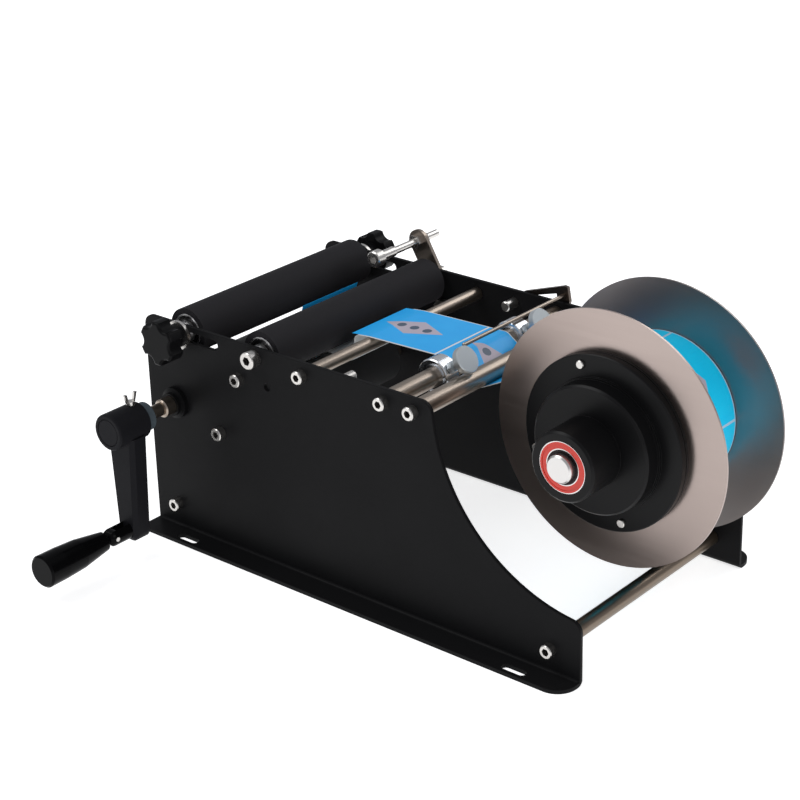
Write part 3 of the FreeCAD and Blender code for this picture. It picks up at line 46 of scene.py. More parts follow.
# %% [markdown]
# ## Where things are
# A piece that must fit a CAD part takes its place from that part's own box, so it still fits
# when the CAD changes. Rods and rollers lie along Y, so an axis is an X and a Z.

# %% Read the places of the axes
MM = 0.001


def axis_of(node):
    """The X and Z of a part that turns about a line along Y."""
    low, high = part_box(node)
    return (low[0] + high[0]) / 2, (low[2] + high[2]) / 2


def radius_of(node):
    """Half the height of a round part that lies along Y."""
    low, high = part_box(node)
    return (high[2] - low[2]) / 2


REEL_X, REEL_Z = axis_of("near_reel_disc")
FRONT_ROLLER_X, ROLLER_Z = axis_of("front_roller_sleeve")
REAR_ROLLER_X, _ = axis_of("rear_roller_sleeve")
CRANK_X, CRANK_Z = axis_of("feed_roller_rubber")
PINCH_X, PINCH_Z = axis_of("pinch_roller_rubber")
ROD_RADIUS = radius_of("guide_rods")
RODS_LOW, RODS_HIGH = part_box("guide_rods")
COLLAR_ROD_X = RODS_LOW[0] + ROD_RADIUS
FRONT_ROD_X = RODS_HIGH[0] - ROD_RADIUS
GUIDE_Z = (RODS_LOW[2] + RODS_HIGH[2]) / 2
UPPER_GUIDE_X, _ = axis_of("upper_guide_bar")
ROLL_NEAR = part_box("label_roll")[0][1]
ROLL_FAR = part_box("label_roll")[1][1]
print("reel axis", REEL_X, REEL_Z, "web from", ROLL_NEAR, "to", ROLL_FAR)

# %% [markdown]
# ## Camera
# A long lens on a tripod, a little above the machine and toward its crank side. The picture is
# slightly off the lens axis, which a small shift of the sensor gives.

# %% Place the camera
CAMERA_PLACE = Vector((0.8730, -1.0608, 0.7328))
CAMERA_AZIMUTH = math.radians(39.47)
CAMERA_ELEVATION = math.radians(22.97)
CAMERA_ROLL = math.radians(-1.09)


def camera_axes(azimuth, elevation, roll):
    """The camera's right, up and backward directions."""
    back = Vector((math.sin(azimuth) * math.cos(elevation),
                   -math.cos(azimuth) * math.cos(elevation), math.sin(elevation)))
    right = (-back).cross(Vector((0, 0, 1))).normalized()
    up = right.cross(-back)
    rolled_right = right * math.cos(roll) + up * math.sin(roll)
    rolled_up = up * math.cos(roll) - right * math.sin(roll)
    return rolled_right, rolled_up, back


bpy.ops.object.camera_add(location=CAMERA_PLACE)
camera = bpy.context.object
camera.name = "tripod_camera"
turn = Matrix(camera_axes(CAMERA_AZIMUTH, CAMERA_ELEVATION, CAMERA_ROLL)).transposed()
camera.matrix_world = Matrix.Translation(CAMERA_PLACE) @ turn.to_4x4()
camera.data.sensor_width = 36
camera.data.lens = 92.18
camera.data.shift_x = -0.048
camera.data.shift_y = -0.050
camera.data.clip_end = 20
bpy.context.scene.camera = camera
print("camera", camera.location)

# %% [markdown]
# ## Studio
# Bare metal shows what stands around it, so the studio is part of every metal finish. A pale
# room, one large soft light from the upper left and a weaker one from the right give rods and
# discs their bright bands. The machine stands on a light table, a pale sheet that also glows a
# little, so the shadows under the black plates stay open.

# %% Build the floor and the lights
bpy.ops.mesh.primitive_plane_add(size=14, location=(0, 0, 0))
floor = bpy.context.object
floor.name = "light_table"
print("floor", tuple(round(side, 1) for side in floor.dimensions))

world = bpy.data.worlds.new("pale_room")
bpy.context.scene.world = world
world.use_nodes = True
room = world.node_tree.nodes["Background"]
room.inputs["Color"].default_value = (0.93, 0.95, 1.0, 1)
room.inputs["Strength"].default_value = 0.42


def soft_light(name, place, aim, width, power, warmth=(1, 1, 1)):
    """A rectangular softbox, width in metres and power in watts, turned toward aim."""
    bpy.ops.object.light_add(type="AREA", location=place)
    light = bpy.context.object
    light.name = name
    light.data.shape = "RECTANGLE"
    light.data.size = width
    light.data.size_y = width * 0.7
    light.data.energy = power
    light.data.color = warmth
    light.rotation_euler = (Vector(aim) - Vector(place)).to_track_quat("-Z", "Y").to_euler()


MIDDLE = (0, 0, 0.1)
TOP_EDGE = (0, 0, 0.15)
soft_light("key_softbox", (-0.9, -0.7, 1.6), MIDDLE, 1.2, 11)
soft_light("fill_softbox", (1.6, -0.2, 1.0), MIDDLE, 0.9, 7, (1, 0.97, 0.95))
soft_light("back_softbox", (0.2, 1.6, 1.2), TOP_EDGE, 1.2, 8)
bpy.context.scene.view_settings.view_transform = "Standard"

# %% [markdown]
# ## How the finishes are made
# A finish is a small graph of nodes that ends in one shader. Two helpers are enough: one turns
# the hex colours that people write down into the linear light that Blender counts with, and one
# adds a node with its settings and links.

# %% Helpers for finishes


def linear(hex_colour):
    channels = [int(hex_colour[i:i + 2], 16) / 255 for i in (1, 3, 5)]
    bright = [c / 12.92 if c <= 0.04045 else ((c + 0.055) / 1.055) ** 2.4 for c in channels]
    return (*bright, 1)


def add(material, kind, links=None, values=None, **settings):
    """Add a node; links name the sockets that feed it and values the numbers set on it."""
    tree = material.node_tree
    node = tree.nodes.new(kind)
    for key, setting in settings.items():
        setattr(node, key, setting)
    for key, value in (values or {}).items():
        node.inputs[key].default_value = value
    for key, socket in (links or {}).items():
        tree.links.new(socket, node.inputs[key])
    return node


def start_finish(name, colour, roughness, metallic=0.0, **more):
    """A new material and its shader; more holds other sockets, with _ for each space."""
    material = bpy.data.materials.new(name)
    material.use_nodes = True
    shader = material.node_tree.nodes["Principled BSDF"]
    shader.inputs["Base Color"].default_value = linear(colour)
    shader.inputs["Roughness"].default_value = roughness
    shader.inputs["Metallic"].default_value = metallic
    for socket, value in more.items():
        shader.inputs[socket.replace("_", " ")].default_value = value
    return material, shader


def feed(material, socket, target):
    material.node_tree.links.new(socket, target)


def dress(material, *nodes):
    """Put a finish on CAD nodes, in the slots that they already have."""
    for name in nodes:
        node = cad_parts[name]
        for place in node.material_slots:
            place.material = material


print("black", linear("#1e1d1e")[:3])

# %% [markdown]
# ## Powder-coated sheet
# The side plates are folded steel with a baked polyester powder coat, satin black. Up close the
# coat has a shallow orange peel a few tenths of a millimetre deep in pitch, which breaks the
# reflections up and swallows part of them. A plain glossy black would look like wet paint, so
# noise drives a fine bump, a slower noise varies the roughness and the reflection is weakened.
# No coat has a knife edge, so the shader also rounds the corners by half a millimetre, and they
# catch a thin line of light.

# %% Powder coat
EDGE_WEAR = 0.0005


def powder_coat(name, colour, roughness, pitch_mm, depth, shine=0.05):
    """Satin baked coat with an orange peel of the given pitch."""
    material, shader = start_finish(name, colour, roughness, IOR=1.5,
                                    Specular_IOR_Level=shine)
    worn = add(material, "ShaderNodeBevel", values={"Radius": EDGE_WEAR})
    place = add(material, "ShaderNodeTexCoord")
    peel = add(material, "ShaderNodeTexNoise", {"Vector": place.outputs["Object"]},
               {"Scale": 1000 / pitch_mm, "Detail": 3.0, "Roughness": 0.55})
    bump = add(material, "ShaderNodeBump",
               {"Height": peel.outputs["Fac"], "Normal": worn.outputs["Normal"]},
               {"Strength": depth, "Distance": 0.0002})
    feed(material, bump.outputs["Normal"], shader.inputs["Normal"])
    handling = add(material, "ShaderNodeTexNoise", {"Vector": place.outputs["Object"]},
                   {"Scale": 18.0, "Detail": 4.0})
    rough = add(material, "ShaderNodeMapRange", {"Value": handling.outputs["Fac"]},
                {"From Min": 0.3, "From Max": 0.7, "To Min": roughness - 0.05,
                 "To Max": roughness + 0.07})
    feed(material, rough.outputs["Result"], shader.inputs["Roughness"])
    return material


plate_coat = powder_coat("satin_black_powder_coat", "#171718", 0.42, 0.7, 0.3)
dress(plate_coat, "near_side_plate", "far_side_plate")
crank_coat = powder_coat("matt_black_powder_coat", "#1b1b1e", 0.48, 0.9, 0.4)
dress(crank_coat, "crank_arm", "crank_hub_cap")
print("powder coats:", plate_coat.name, crank_coat.name)

# %% [markdown]
# ## Ground and polished steel
# Guide rods are ground between wheels, which leaves very fine lines round them. Stretching a
# noise so that it changes quickly along the rod and slowly round it draws those lines. The
# screws are plated and smoother; the collars are chromed and show the room like a mirror.

# %% Steel finishes


def turned_metal(name, colour, roughness, line_pitch_mm, depth, spread=0.06):
    """Metal with fine lines that run round the Y direction."""
    material, shader = start_finish(name, colour, roughness, metallic=1.0)
    place = add(material, "ShaderNodeTexCoord")
    fast = 1000 / line_pitch_mm
    stretch = add(material, "ShaderNodeMapping", {"Vector": place.outputs["Object"]},
                  {"Scale": (12.0, fast, 12.0)})
    lines = add(material, "ShaderNodeTexNoise", {"Vector": stretch.outputs["Vector"]},
                {"Scale": 1.0, "Detail": 2.0})
    bump = add(material, "ShaderNodeBump", {"Height": lines.outputs["Fac"]},
               {"Strength": depth, "Distance": 0.0001})
    feed(material, bump.outputs["Normal"], shader.inputs["Normal"])
    cloud = add(material, "ShaderNodeTexNoise", {"Vector": place.outputs["Object"]},
                {"Scale": 35.0, "Detail": 2.0})
    rough = add(material, "ShaderNodeMapRange", {"Value": cloud.outputs["Fac"]},
                {"From Min": 0.3, "From Max": 0.7, "To Min": roughness - spread / 2,
                 "To Max": roughness + spread})
    feed(material, rough.outputs["Result"], shader.inputs["Roughness"])
    return material


rod_steel = turned_metal("ground_steel_bar", "#a3978b", 0.3, 0.9, 0.05, 0.03)
dress(rod_steel, "hold_down_rod", "upper_guide_bar", "guide_rods", "peel_plate_bar",
      "pinch_roller_shaft", "front_roller_shaft", "rear_roller_shaft", "crank_shaft",
      "crank_shaft_bushes")
# The tie bars low under the reel take a darker copy of the bar steel, painted shade for their
# place.
tie_bar_steel_painted_shade = turned_metal("bar_steel_painted_shade", "#7f7265", 0.32, 0.9, 0.08, 0.04)
dress(tie_bar_steel_painted_shade, "tie_bars")
spindle_steel = turned_metal("turned_spindle_steel", "#d2d0ce", 0.3, 0.8, 0.06, 0.03)
dress(spindle_steel, "reel_spindle")
ZINC = "#cfccc8"
plated_steel = turned_metal("zinc_plated_screw", ZINC, 0.27, 0.7, 0.04, 0.03)
dress(plated_steel, "bottle_stop_nuts", "spindle_nut", "near_reel_screws", "clamp_washers",
      "handle_pin", "crank_wing_screw", "bottle_stop_screw", "web_guide_pins")
chromed = turned_metal("bright_chrome", "#dfe1e4", 0.24, 1.2, 0.01, 0.03)
dress(chromed, "near_guide_collar", "far_guide_collar")
satin_nickel = turned_metal("satin_nickel", "#c6cccf", 0.42, 1.0, 0.02, 0.04)
dress(satin_nickel, "near_thumb_screw", "far_thumb_screw")
turned_aluminium = turned_metal("turned_aluminium", "#cfcfd0", 0.32, 0.5, 0.2)
dress(turned_aluminium, "front_roller_tube", "rear_roller_tube", "feed_roller_core",
      "pinch_roller_core", "front_roller_spacers", "rear_roller_spacers")
lever_steel = turned_metal("blued_steel", "#5b524c", 0.3, 0.8, 0.1)
dress(lever_steel, "hold_down_lever")
bar_steel = turned_metal("mill_finish_steel", "#9a8f85", 0.34, 0.8, 0.15)
dress(bar_steel, "bottle_stop_bar", "peel_plate")
print("steel finishes set")

# %% [markdown]
# ## Socket screws
# The bottoms of the hexagon sockets in the plate screws are coloured black as painted shade,
# for the shade that falls in the recess. The bottoms are the only faces that look along Y at a
# certain distance from the machine's middle, so two comparisons find them.

# %% Screws with painted shade in the sockets
# The black of the socket floors is painted shade in the recess, not a finish of the screw.
SOCKET_PAINTED_SHADE = "#1c1a19"
SOCKET_FLOOR = 0.0025
SOCKET_FLOOR_END = 0.004


def socket_screws(name, floor_from, floor_to, node):
    """Plated steel, with painted shade: black where a face looks along Y between the two
    distances.
    """
    material = turned_metal(name, ZINC, 0.27, 0.7, 0.04, 0.03)
    shader = material.node_tree.nodes["Principled BSDF"]
    place = add(material, "ShaderNodeTexCoord")
    spot = add(material, "ShaderNodeSeparateXYZ", {"Vector": place.outputs["Object"]})
    facing = add(material, "ShaderNodeSeparateXYZ", {"Vector": place.outputs["Normal"]})
    away = add(material, "ShaderNodeMath", {0: spot.outputs["Y"]}, operation="ABSOLUTE")
    square_on = add(material, "ShaderNodeMath", {0: facing.outputs["Y"]},
                    operation="ABSOLUTE")
    flat = add(material, "ShaderNodeMath", {0: square_on.outputs["Value"]}, {1: 0.9},
               operation="GREATER_THAN")
    half = (floor_to - floor_from) / 2
    deep = add(material, "ShaderNodeMath", {0: away.outputs["Value"]},
               {1: floor_from + half, 2: half}, operation="COMPARE")
    painted_shade_mask = add(material, "ShaderNodeMath", {0: flat.outputs["Value"],
                                                  1: deep.outputs["Value"]},
                     operation="MULTIPLY")
    colour = add(material, "ShaderNodeMix", {"Factor": painted_shade_mask.outputs["Value"]},
                 data_type="RGBA")
    colour.inputs["A"].default_value = linear(ZINC)
    colour.inputs["B"].default_value = linear(SOCKET_PAINTED_SHADE)
    feed(material, colour.outputs["Result"], shader.inputs["Base Color"])
    dress(material, node)


screw_reach = -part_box("plate_screws")[0][1]
roller_screw_reach = -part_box("front_roller_screws")[0][1]
for name, reach, node in (("m6_socket_screw", screw_reach, "plate_screws"),
                          ("m8_socket_screw", roller_screw_reach, "front_roller_screws")):
    socket_screws(name, reach - SOCKET_FLOOR_END, reach - SOCKET_FLOOR, node)
print("socket screws reach", screw_reach, roller_screw_reach)

# %% [markdown]
# ## Brushed stainless discs
# The two reel discs are cut from brushed stainless sheet. Brushing leaves thousands of short
# parallel scratches, so a reflection is smeared across them. An anisotropic shader smears it,
# and a noise stretched along the brushing draws the scratches themselves, drawn coarser than
# the real grit so that they show.

# %% Brushed discs


def brushed_sheet(name, colour, roughness, grit_mm):
    """Stainless sheet whose scratches lie one grit apart."""
    material, shader = start_finish(name, colour, roughness, metallic=1.0, Anisotropic=0.6)
    place = add(material, "ShaderNodeTexCoord")
    grain = add(material, "ShaderNodeMapping", {"Vector": place.outputs["Object"]},
                {"Scale": (9.0, 9.0, 1000 / grit_mm)})
    scratches = add(material, "ShaderNodeTexNoise", {"Vector": grain.outputs["Vector"]},
                    {"Scale": 1.0, "Detail": 4.0, "Roughness": 0.6})
    bump = add(material, "ShaderNodeBump", {"Height": scratches.outputs["Fac"]},
               {"Strength": 0.08, "Distance": 0.0001})
    feed(material, bump.outputs["Normal"], shader.inputs["Normal"])
    rough = add(material, "ShaderNodeMapRange", {"Value": scratches.outputs["Fac"]},
                {"From Min": 0.3, "From Max": 0.7, "To Min": roughness - 0.05,
                 "To Max": roughness + 0.06})
    feed(material, rough.outputs["Result"], shader.inputs["Roughness"])
    around = add(material, "ShaderNodeTangent", direction_type="RADIAL", axis="Y")
    feed(material, around.outputs["Tangent"], shader.inputs["Tangent"])
    return material


# Both discs are the same steel. The near disc's warm pink tint is a painted reflection of a warm
# room, and the far disc is a darker copy with painted shade.
near_sheet_painted_reflection = brushed_sheet("brushed_stainless_painted_warm_reflection", "#ab9d97", 0.33, 0.35)
dress(near_sheet_painted_reflection, "near_reel_disc")
far_sheet_painted_shade = brushed_sheet("brushed_stainless_painted_shade", "#928c8a", 0.38, 0.35)
dress(far_sheet_painted_shade, "far_reel_disc")
print("discs:", near_sheet_painted_reflection.name, far_sheet_painted_shade.name)

# %% [markdown]
# ## Rubber, plastic and anodised black
# The bottle rollers wear a closed-cell rubber sleeve: very dark, without gloss, with a fine
# pebble. The star knobs and shaft bearings are moulded nylon, smoother and a little shiny. The
# reel hubs are turned aluminium, anodised black, so they keep the turning lines under the dye.

# %% Rubber and plastic


def soft_black(name, colour, roughness, pitch_mm, depth, shine=0.3):
    """Rubber or plastic with a fine pebble."""
    material, shader = start_finish(name, colour, roughness, IOR=1.48,
                                    Specular_IOR_Level=shine)
    place = add(material, "ShaderNodeTexCoord")
    pebble = add(material, "ShaderNodeTexNoise", {"Vector": place.outputs["Object"]},
                 {"Scale": 1000 / pitch_mm, "Detail": 4.0, "Roughness": 0.6})
    bump = add(material, "ShaderNodeBump", {"Height": pebble.outputs["Fac"]},
               {"Strength": depth, "Distance": 0.0004})
    feed(material, bump.outputs["Normal"], shader.inputs["Normal"])
    return material


roller_rubber = soft_black("closed_cell_rubber", "#1d1c1f", 0.75, 1.1, 0.45, 0.2)
dress(roller_rubber, "front_roller_sleeve", "rear_roller_sleeve")
feed_rubber = soft_black("feed_roller_rubber", "#232324", 0.7, 0.8, 0.3)
dress(feed_rubber, "feed_roller_rubber", "pinch_roller_rubber")
nylon = soft_black("moulded_black_nylon", "#101011", 0.34, 0.9, 0.1, 0.07)
dress(nylon, "near_star_knob", "far_star_knob", "crank_flange_bearings")
grip_plastic = soft_black("glossy_black_grip", "#080809", 0.22, 1.4, 0.05, 0.06)
dress(grip_plastic, "handle_grip", "crank_handle_fork", "handle_spindle")
ring_coat = powder_coat("grey_ring_coat", "#4a5359", 0.42, 0.8, 0.25)
dress(ring_coat, "crank_shaft_rings")
TURNING_MM = 1 / 1.8


def black_anodised(name, colour, roughness):
    """Dyed aluminium that keeps its turning lines, half a millimetre apart."""
    material, shader = start_finish(name, colour, roughness, IOR=1.6, Specular_IOR_Level=0.1)
    worn = add(material, "ShaderNodeBevel", values={"Radius": EDGE_WEAR})
    place = add(material, "ShaderNodeTexCoord")
    stretch = add(material, "ShaderNodeMapping", {"Vector": place.outputs["Object"]},
                  {"Scale": (20.0, 1000 / TURNING_MM, 20.0)})
    lines = add(material, "ShaderNodeTexNoise", {"Vector": stretch.outputs["Vector"]},
                {"Scale": 1.0, "Detail": 2.0})
    bump = add(material, "ShaderNodeBump",
               {"Height": lines.outputs["Fac"], "Normal": worn.outputs["Normal"]},
               {"Strength": 0.12, "Distance": 0.0001})
    feed(material, bump.outputs["Normal"], shader.inputs["Normal"])
    return material


hub_black = black_anodised("black_anodised_aluminium", "#0f0f10", 0.34)
dress(hub_black, "near_reel_hub", "far_reel_hub")
print("black finishes set")

# %% [markdown]
# ## Ball bearings
# A sealed bearing shows two bright rings with a rubber seal between them. One material can do
# both: the distance from the bearing's axis picks a band on a colour ramp that has no blending
# between its colours.

# %% Bearings with seals


def distance_from_axis(material, x, z):
    """Metres from the line along Y through x, z."""
    place = add(material, "ShaderNodeTexCoord")
    centred = add(material, "ShaderNodeMapping", {"Vector": place.outputs["Object"]},
                  {"Location": (-x, 0, -z)})
    flat = add(material, "ShaderNodeVectorMath", {0: centred.outputs["Vector"]},
               {1: (1, 0, 1)}, operation="MULTIPLY")
    distance = add(material, "ShaderNodeVectorMath", {0: flat.outputs["Vector"]},
                   operation="LENGTH")
    return distance.outputs["Value"]


def bands(material, value, full, steps):
    """A ramp of flat colours; steps are (where each begins, hex colour)."""
    share = add(material, "ShaderNodeMath", {0: value}, {1: full}, operation="DIVIDE")
    ramp = add(material, "ShaderNodeValToRGB", {"Fac": share.outputs["Value"]})
    ramp.color_ramp.interpolation = "CONSTANT"
    stops = ramp.color_ramp.elements
    while len(stops) < len(steps):
        stops.new(1.0)
    for stop, (begins, colour) in zip(stops, steps):
        stop.position = begins / full
        stop.color = linear(colour)
    return ramp.outputs["Color"]


def bearing_on(node, x, z, bore, outer, seal_colour):
    """Dress a bearing: inner ring darkened with painted shade, lip, seal and outer ring."""
    material, shader = start_finish(node + "_finish", "#c9c9ca", 0.25)
    distance = distance_from_axis(material, x, z)
    ring = (outer - bore) / 2
    # The first, dark band is painted shade on the inner ring round the bore, where the gap to the
    # shaft lies in shade.
    marks = [0.0, bore / 2 + ring * 0.26, bore / 2 + ring * 0.34, outer / 2 - ring * 0.09]
    colours = ["#2a2526", "#d8d5d3", seal_colour, "#dcd9d8"]
    feed(material, bands(material, distance, outer, list(zip(marks, colours))),
         shader.inputs["Base Color"])
    metal = ["#ffffff", "#ffffff", "#000000", "#ffffff"]
    feed(material, bands(material, distance, outer, list(zip(marks, metal))),
         shader.inputs["Metallic"])
    dress(material, node)


reel_bearing = 2 * radius_of("near_reel_bearings")
roller_bearing = 2 * radius_of("front_roller_bearings")
SEAL_RED = "#d3301f"
SEAL_BLACK = "#141415"
REEL_BORE = 0.020
ROLLER_BORE = 0.012
for side in ("near", "far"):
    bearing_on(side + "_reel_bearings", REEL_X, REEL_Z, REEL_BORE, reel_bearing, SEAL_RED)
for side, x in (("front", FRONT_ROLLER_X), ("rear", REAR_ROLLER_X)):
    bearing_on(side + "_roller_bearings", x, ROLLER_Z, ROLLER_BORE, roller_bearing, SEAL_BLACK)
print("bearings sealed:", reel_bearing, roller_bearing)

# %% [markdown]
# ## Paper
# The labels ride on glassine, a smooth, slightly see-through backing paper. On the roll only
# the edges of the turns are seen, as fine rings round the axis. The roll is wound on a tube of
# plain brown board.

# %% Backing paper, roll and core


def paper(name, colour, roughness):
    """Paper or board with fibres about a millimetre long."""
    material, shader = start_finish(name, colour, roughness, IOR=1.5)
    place = add(material, "ShaderNodeTexCoord")
    fibre = add(material, "ShaderNodeTexNoise", {"Vector": place.outputs["Object"]},
                {"Scale": 900.0, "Detail": 5.0})
    bump = add(material, "ShaderNodeBump", {"Height": fibre.outputs["Fac"]},
               {"Strength": 0.06, "Distance": 0.0001})
    feed(material, bump.outputs["Normal"], shader.inputs["Normal"])
    return material


glassine = paper("glassine_backing", "#e6e9ea", 0.45)
dress(glassine, "label_web")
board = paper("brown_core_board", "#9c7a55", 0.8)
dress(board, "label_roll_core")


def wound_paper(name):
    """Edge-on turns: thin blue and white rings about the reel's axis."""
    material, shader = start_finish(name, "#dfe5e8", 0.55, IOR=1.5)
    distance = distance_from_axis(material, REEL_X, REEL_Z)
    turns = add(material, "ShaderNodeMath", {0: distance}, {1: 2200.0}, operation="MULTIPLY")
    wave = add(material, "ShaderNodeMath", {0: turns.outputs["Value"]}, operation="SINE")
    tint = add(material, "ShaderNodeMapRange", {"Value": wave.outputs["Value"]},
               {"From Min": -1.0, "From Max": 1.0, "To Min": 0.0, "To Max": 0.55})
    colour = add(material, "ShaderNodeMix", {"Factor": tint.outputs["Result"]},
                 data_type="RGBA")
    colour.inputs["A"].default_value = linear("#e9eef0")
    colour.inputs["B"].default_value = linear("#5fb4e0")
    feed(material, colour.outputs["Result"], shader.inputs["Base Color"])
    return material


dress(wound_paper("wound_label_stock"), "label_roll")
print("paper finishes set")

# %% [markdown]
# ## The printed labels
# Each label is a sheet 0.1 mm thick that follows the backing paper. It is made as a ribbon:
# a short edge is extruded from point to point along the path that the web takes, so it bends
# where the web bends. Its UV map measures real millimetres along and across, which the print
# pattern reads.

# %% Make ribbons
LABEL_INSET = 0.0011
LABEL_THICKNESS = 0.0001
LABEL_LIFT = 0.00008
MERGE = 0.00001


def ribbon(name, points, near, far):
    """A strip from near to far in Y whose section follows points (x, z)."""
    bpy.ops.object.select_all(action="DESELECT")
    bpy.ops.mesh.primitive_plane_add(size=1, location=(0, 0, 0))
    piece = bpy.context.object
    piece.name = name
    first = Vector((points[0][0], 0, points[0][1]))
    for vertex in piece.data.vertices:
        vertex.co = first + Vector((0, near if vertex.co.y < 0 else far, 0))
    bpy.ops.object.mode_set(mode="EDIT")
    bpy.ops.mesh.select_mode(type="VERT")
    bpy.ops.mesh.select_all(action="SELECT")
    bpy.ops.mesh.remove_doubles(threshold=MERGE)
    for before, after in zip(points, points[1:]):
        step = (after[0] - before[0], 0, after[1] - before[1])
        bpy.ops.mesh.extrude_region_move(TRANSFORM_OT_translate={"value": step})
    bpy.ops.object.mode_set(mode="OBJECT")
    measure(piece, points, near)
    return piece


def measure(piece, points, near):
    """Give the ribbon a UV map in millimetres: along the path, then across from the near edge."""
    travelled = [0.0]
    for before, after in zip(points, points[1:]):
        travelled.append(travelled[-1] + math.dist(before, after))
    layer = piece.data.uv_layers[0]
    layer.name = "print"
    for loop in piece.data.loops:
        spot = piece.data.vertices[loop.vertex_index].co
        nearest = min(range(len(points)),
                      key=lambda i: math.dist(points[i], (spot.x, spot.z)))
        layer.data[loop.index].uv = (travelled[nearest] / MM, (spot.y - near) / MM)


print("label inset", LABEL_INSET)

# %% [markdown]
# The web's path is a belt round several circles. Between two circles it is their common
# tangent, and on a circle it is an arc. A circle that the web passes over turns it one way, and
# one that it passes under turns it the other. Where the backing turns down, the stiff label on it
# runs straight on for a few millimetres.

# %% Work out the path of the printed face
WEB_GAP = 0.0003
WEB_GAUGE = 0.0004
OVER = WEB_GAP + WEB_GAUGE + LABEL_LIFT
UNDER = WEB_GAP - LABEL_LIFT
SLACK_RADIUS = 0.005
SLACK_DIP = 0.001
SLACK_BACK = 0.0095
FREE_END = 0.0075


def leave_and_reach(first, second):
    """Where the tangent of two circles (x, z, radius, side) leaves one and reaches the other."""
    x1, z1, radius1, turn1 = first
    x2, z2, radius2, turn2 = second
    distance = math.hypot(x2 - x1, z2 - z1)
    along = math.atan2(z2 - z1, x2 - x1) + math.asin((turn1 * radius1 - turn2 * radius2)
                                                     / distance)
    points = []
    for (x, z, radius, side) in (first, second):
        angle = along - side * math.pi / 2
        points.append((x + radius * math.cos(angle), z + radius * math.sin(angle)))
    return points


def arc(centre, radius, start, finish, turn_way, step=math.radians(6)):
    """Points round a circle from angle start to angle finish, both ends included."""
    sweep = (finish - start) * turn_way % (2 * math.pi)
    count = max(2, round(sweep / step))
    return [(centre[0] + radius * math.cos(start + turn_way * sweep * i / count),
             centre[1] + radius * math.sin(start + turn_way * sweep * i / count))
            for i in range(count + 1)]


roll_radius = radius_of("label_roll")
bar_radius = radius_of("upper_guide_bar")
slack_x = UPPER_GUIDE_X - SLACK_BACK
slack_z = GUIDE_Z + bar_radius + WEB_GAP + WEB_GAUGE / 2 - SLACK_RADIUS - SLACK_DIP
belt = [
    (REEL_X, REEL_Z, roll_radius + OVER, 1),
    (FRONT_ROD_X, GUIDE_Z, ROD_RADIUS + UNDER, -1),
    (COLLAR_ROD_X, GUIDE_Z, ROD_RADIUS + OVER, 1),
    (UPPER_GUIDE_X, GUIDE_Z, bar_radius + OVER, 1),
    (slack_x, slack_z, SLACK_RADIUS + WEB_GAUGE / 2 + LABEL_LIFT, 1),
]
path = []
for one, other in zip(belt, belt[1:]):
    leave, reach = leave_and_reach(one, other)
    if path:
        x, z, radius, way = one
        start = math.atan2(path[-1][1] - z, path[-1][0] - x)
        finish = math.atan2(leave[1] - z, leave[0] - x)
        path += arc((x, z), radius, start, finish, way)[1:]
    else:
        path.append(leave)
    path.append(reach)
last = Vector(path[-1])
ahead = (last - Vector(path[-2])).normalized()
path.append(tuple(last + ahead * FREE_END))
print("path points:", len(path), "from", path[0], "to", path[-1])

# %% [markdown]
# A label covers part of the path. Counting back from the sharp turn where the web drops, the
# labels are 78 mm long with 2 mm between them.

# %% Cut the path into labels
LABEL_LENGTH = 0.078
LABEL_PITCH = 0.080
CLEAR_OF_ROLL = 0.002
HAIR = 0.00001


def cut(points, start, finish):
    """The part of a path between two distances from its first point."""
    kept = []
    travelled = 0.0
    for before, after in zip(points, points[1:]):
        length = math.dist(before, after)
        for mark in (start, finish):
            if travelled <= mark < travelled + length:
                share = (mark - travelled) / length
                kept.append((before[0] + (after[0] - before[0]) * share,
                             before[1] + (after[1] - before[1]) * share))
        if start < travelled + length < finish:
            kept.append(after)
        travelled += length
    return kept


def length_of(points):
    """How long a path is."""
    return sum(math.dist(a, b) for a, b in zip(points, points[1:]))


whole = length_of(path)
near_edge = ROLL_NEAR + LABEL_INSET
far_edge = ROLL_FAR - LABEL_INSET
web_labels = []
finish = whole
for number in (1, 2, 3):
    section = cut(path, max(CLEAR_OF_ROLL, finish - LABEL_LENGTH), finish - HAIR)
    label = ribbon(f"web_label_{number}", section, near_edge, far_edge)
    web_labels.append(label)
    finish -= LABEL_PITCH
print("web labels:", len(web_labels), "on", round(whole / MM), "mm of path")

# %% [markdown]
# On the roll the labels follow its circle, so each is one arc. The first gap between two of them
# lies a little above the height of the axis.

# %% Labels on the roll
roll_labels = []
roll_print_radius = roll_radius + LABEL_LIFT
label_angle = LABEL_PITCH / roll_print_radius
FIRST_GAP = math.radians(7.5)
gap_angle = (LABEL_PITCH - LABEL_LENGTH) / roll_print_radius
ARC_STEP = math.radians(4)
LABELS_ON_ROLL = 4
for number in range(LABELS_ON_ROLL):
    finish_angle = FIRST_GAP - gap_angle - label_angle * (number - 1)
    start_angle = finish_angle + label_angle - gap_angle
    section = arc((REEL_X, REEL_Z), roll_print_radius, finish_angle, start_angle, 1, ARC_STEP)
    label = ribbon(f"roll_label_{number + 1}", section[::-1], near_edge, far_edge)
    roll_labels.append(label)
print("roll labels:", len(roll_labels))

# %% [markdown]
# The leading end of the next label has already left the backing paper at the peel edge and
# stands up behind the front roller, ready for a bottle.

# %% The label that is being peeled
peel_low, peel_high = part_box("peel_plate")
peel_x = (peel_low[0] + peel_high[0]) / 2
peel_top = peel_high[2] + WEB_GAP + WEB_GAUGE + MM / 10
STANDING = ((0.0006, 0.0), (0.0012, 0.003), (0.0022, 0.0062))
peeled = ribbon("peeled_label", [(peel_x + lean, peel_top + rise) for lean, rise in STANDING],
                near_edge, far_edge)
print("peeled label stands", round(STANDING[-1][1] / MM, 1), "mm over the peel edge")

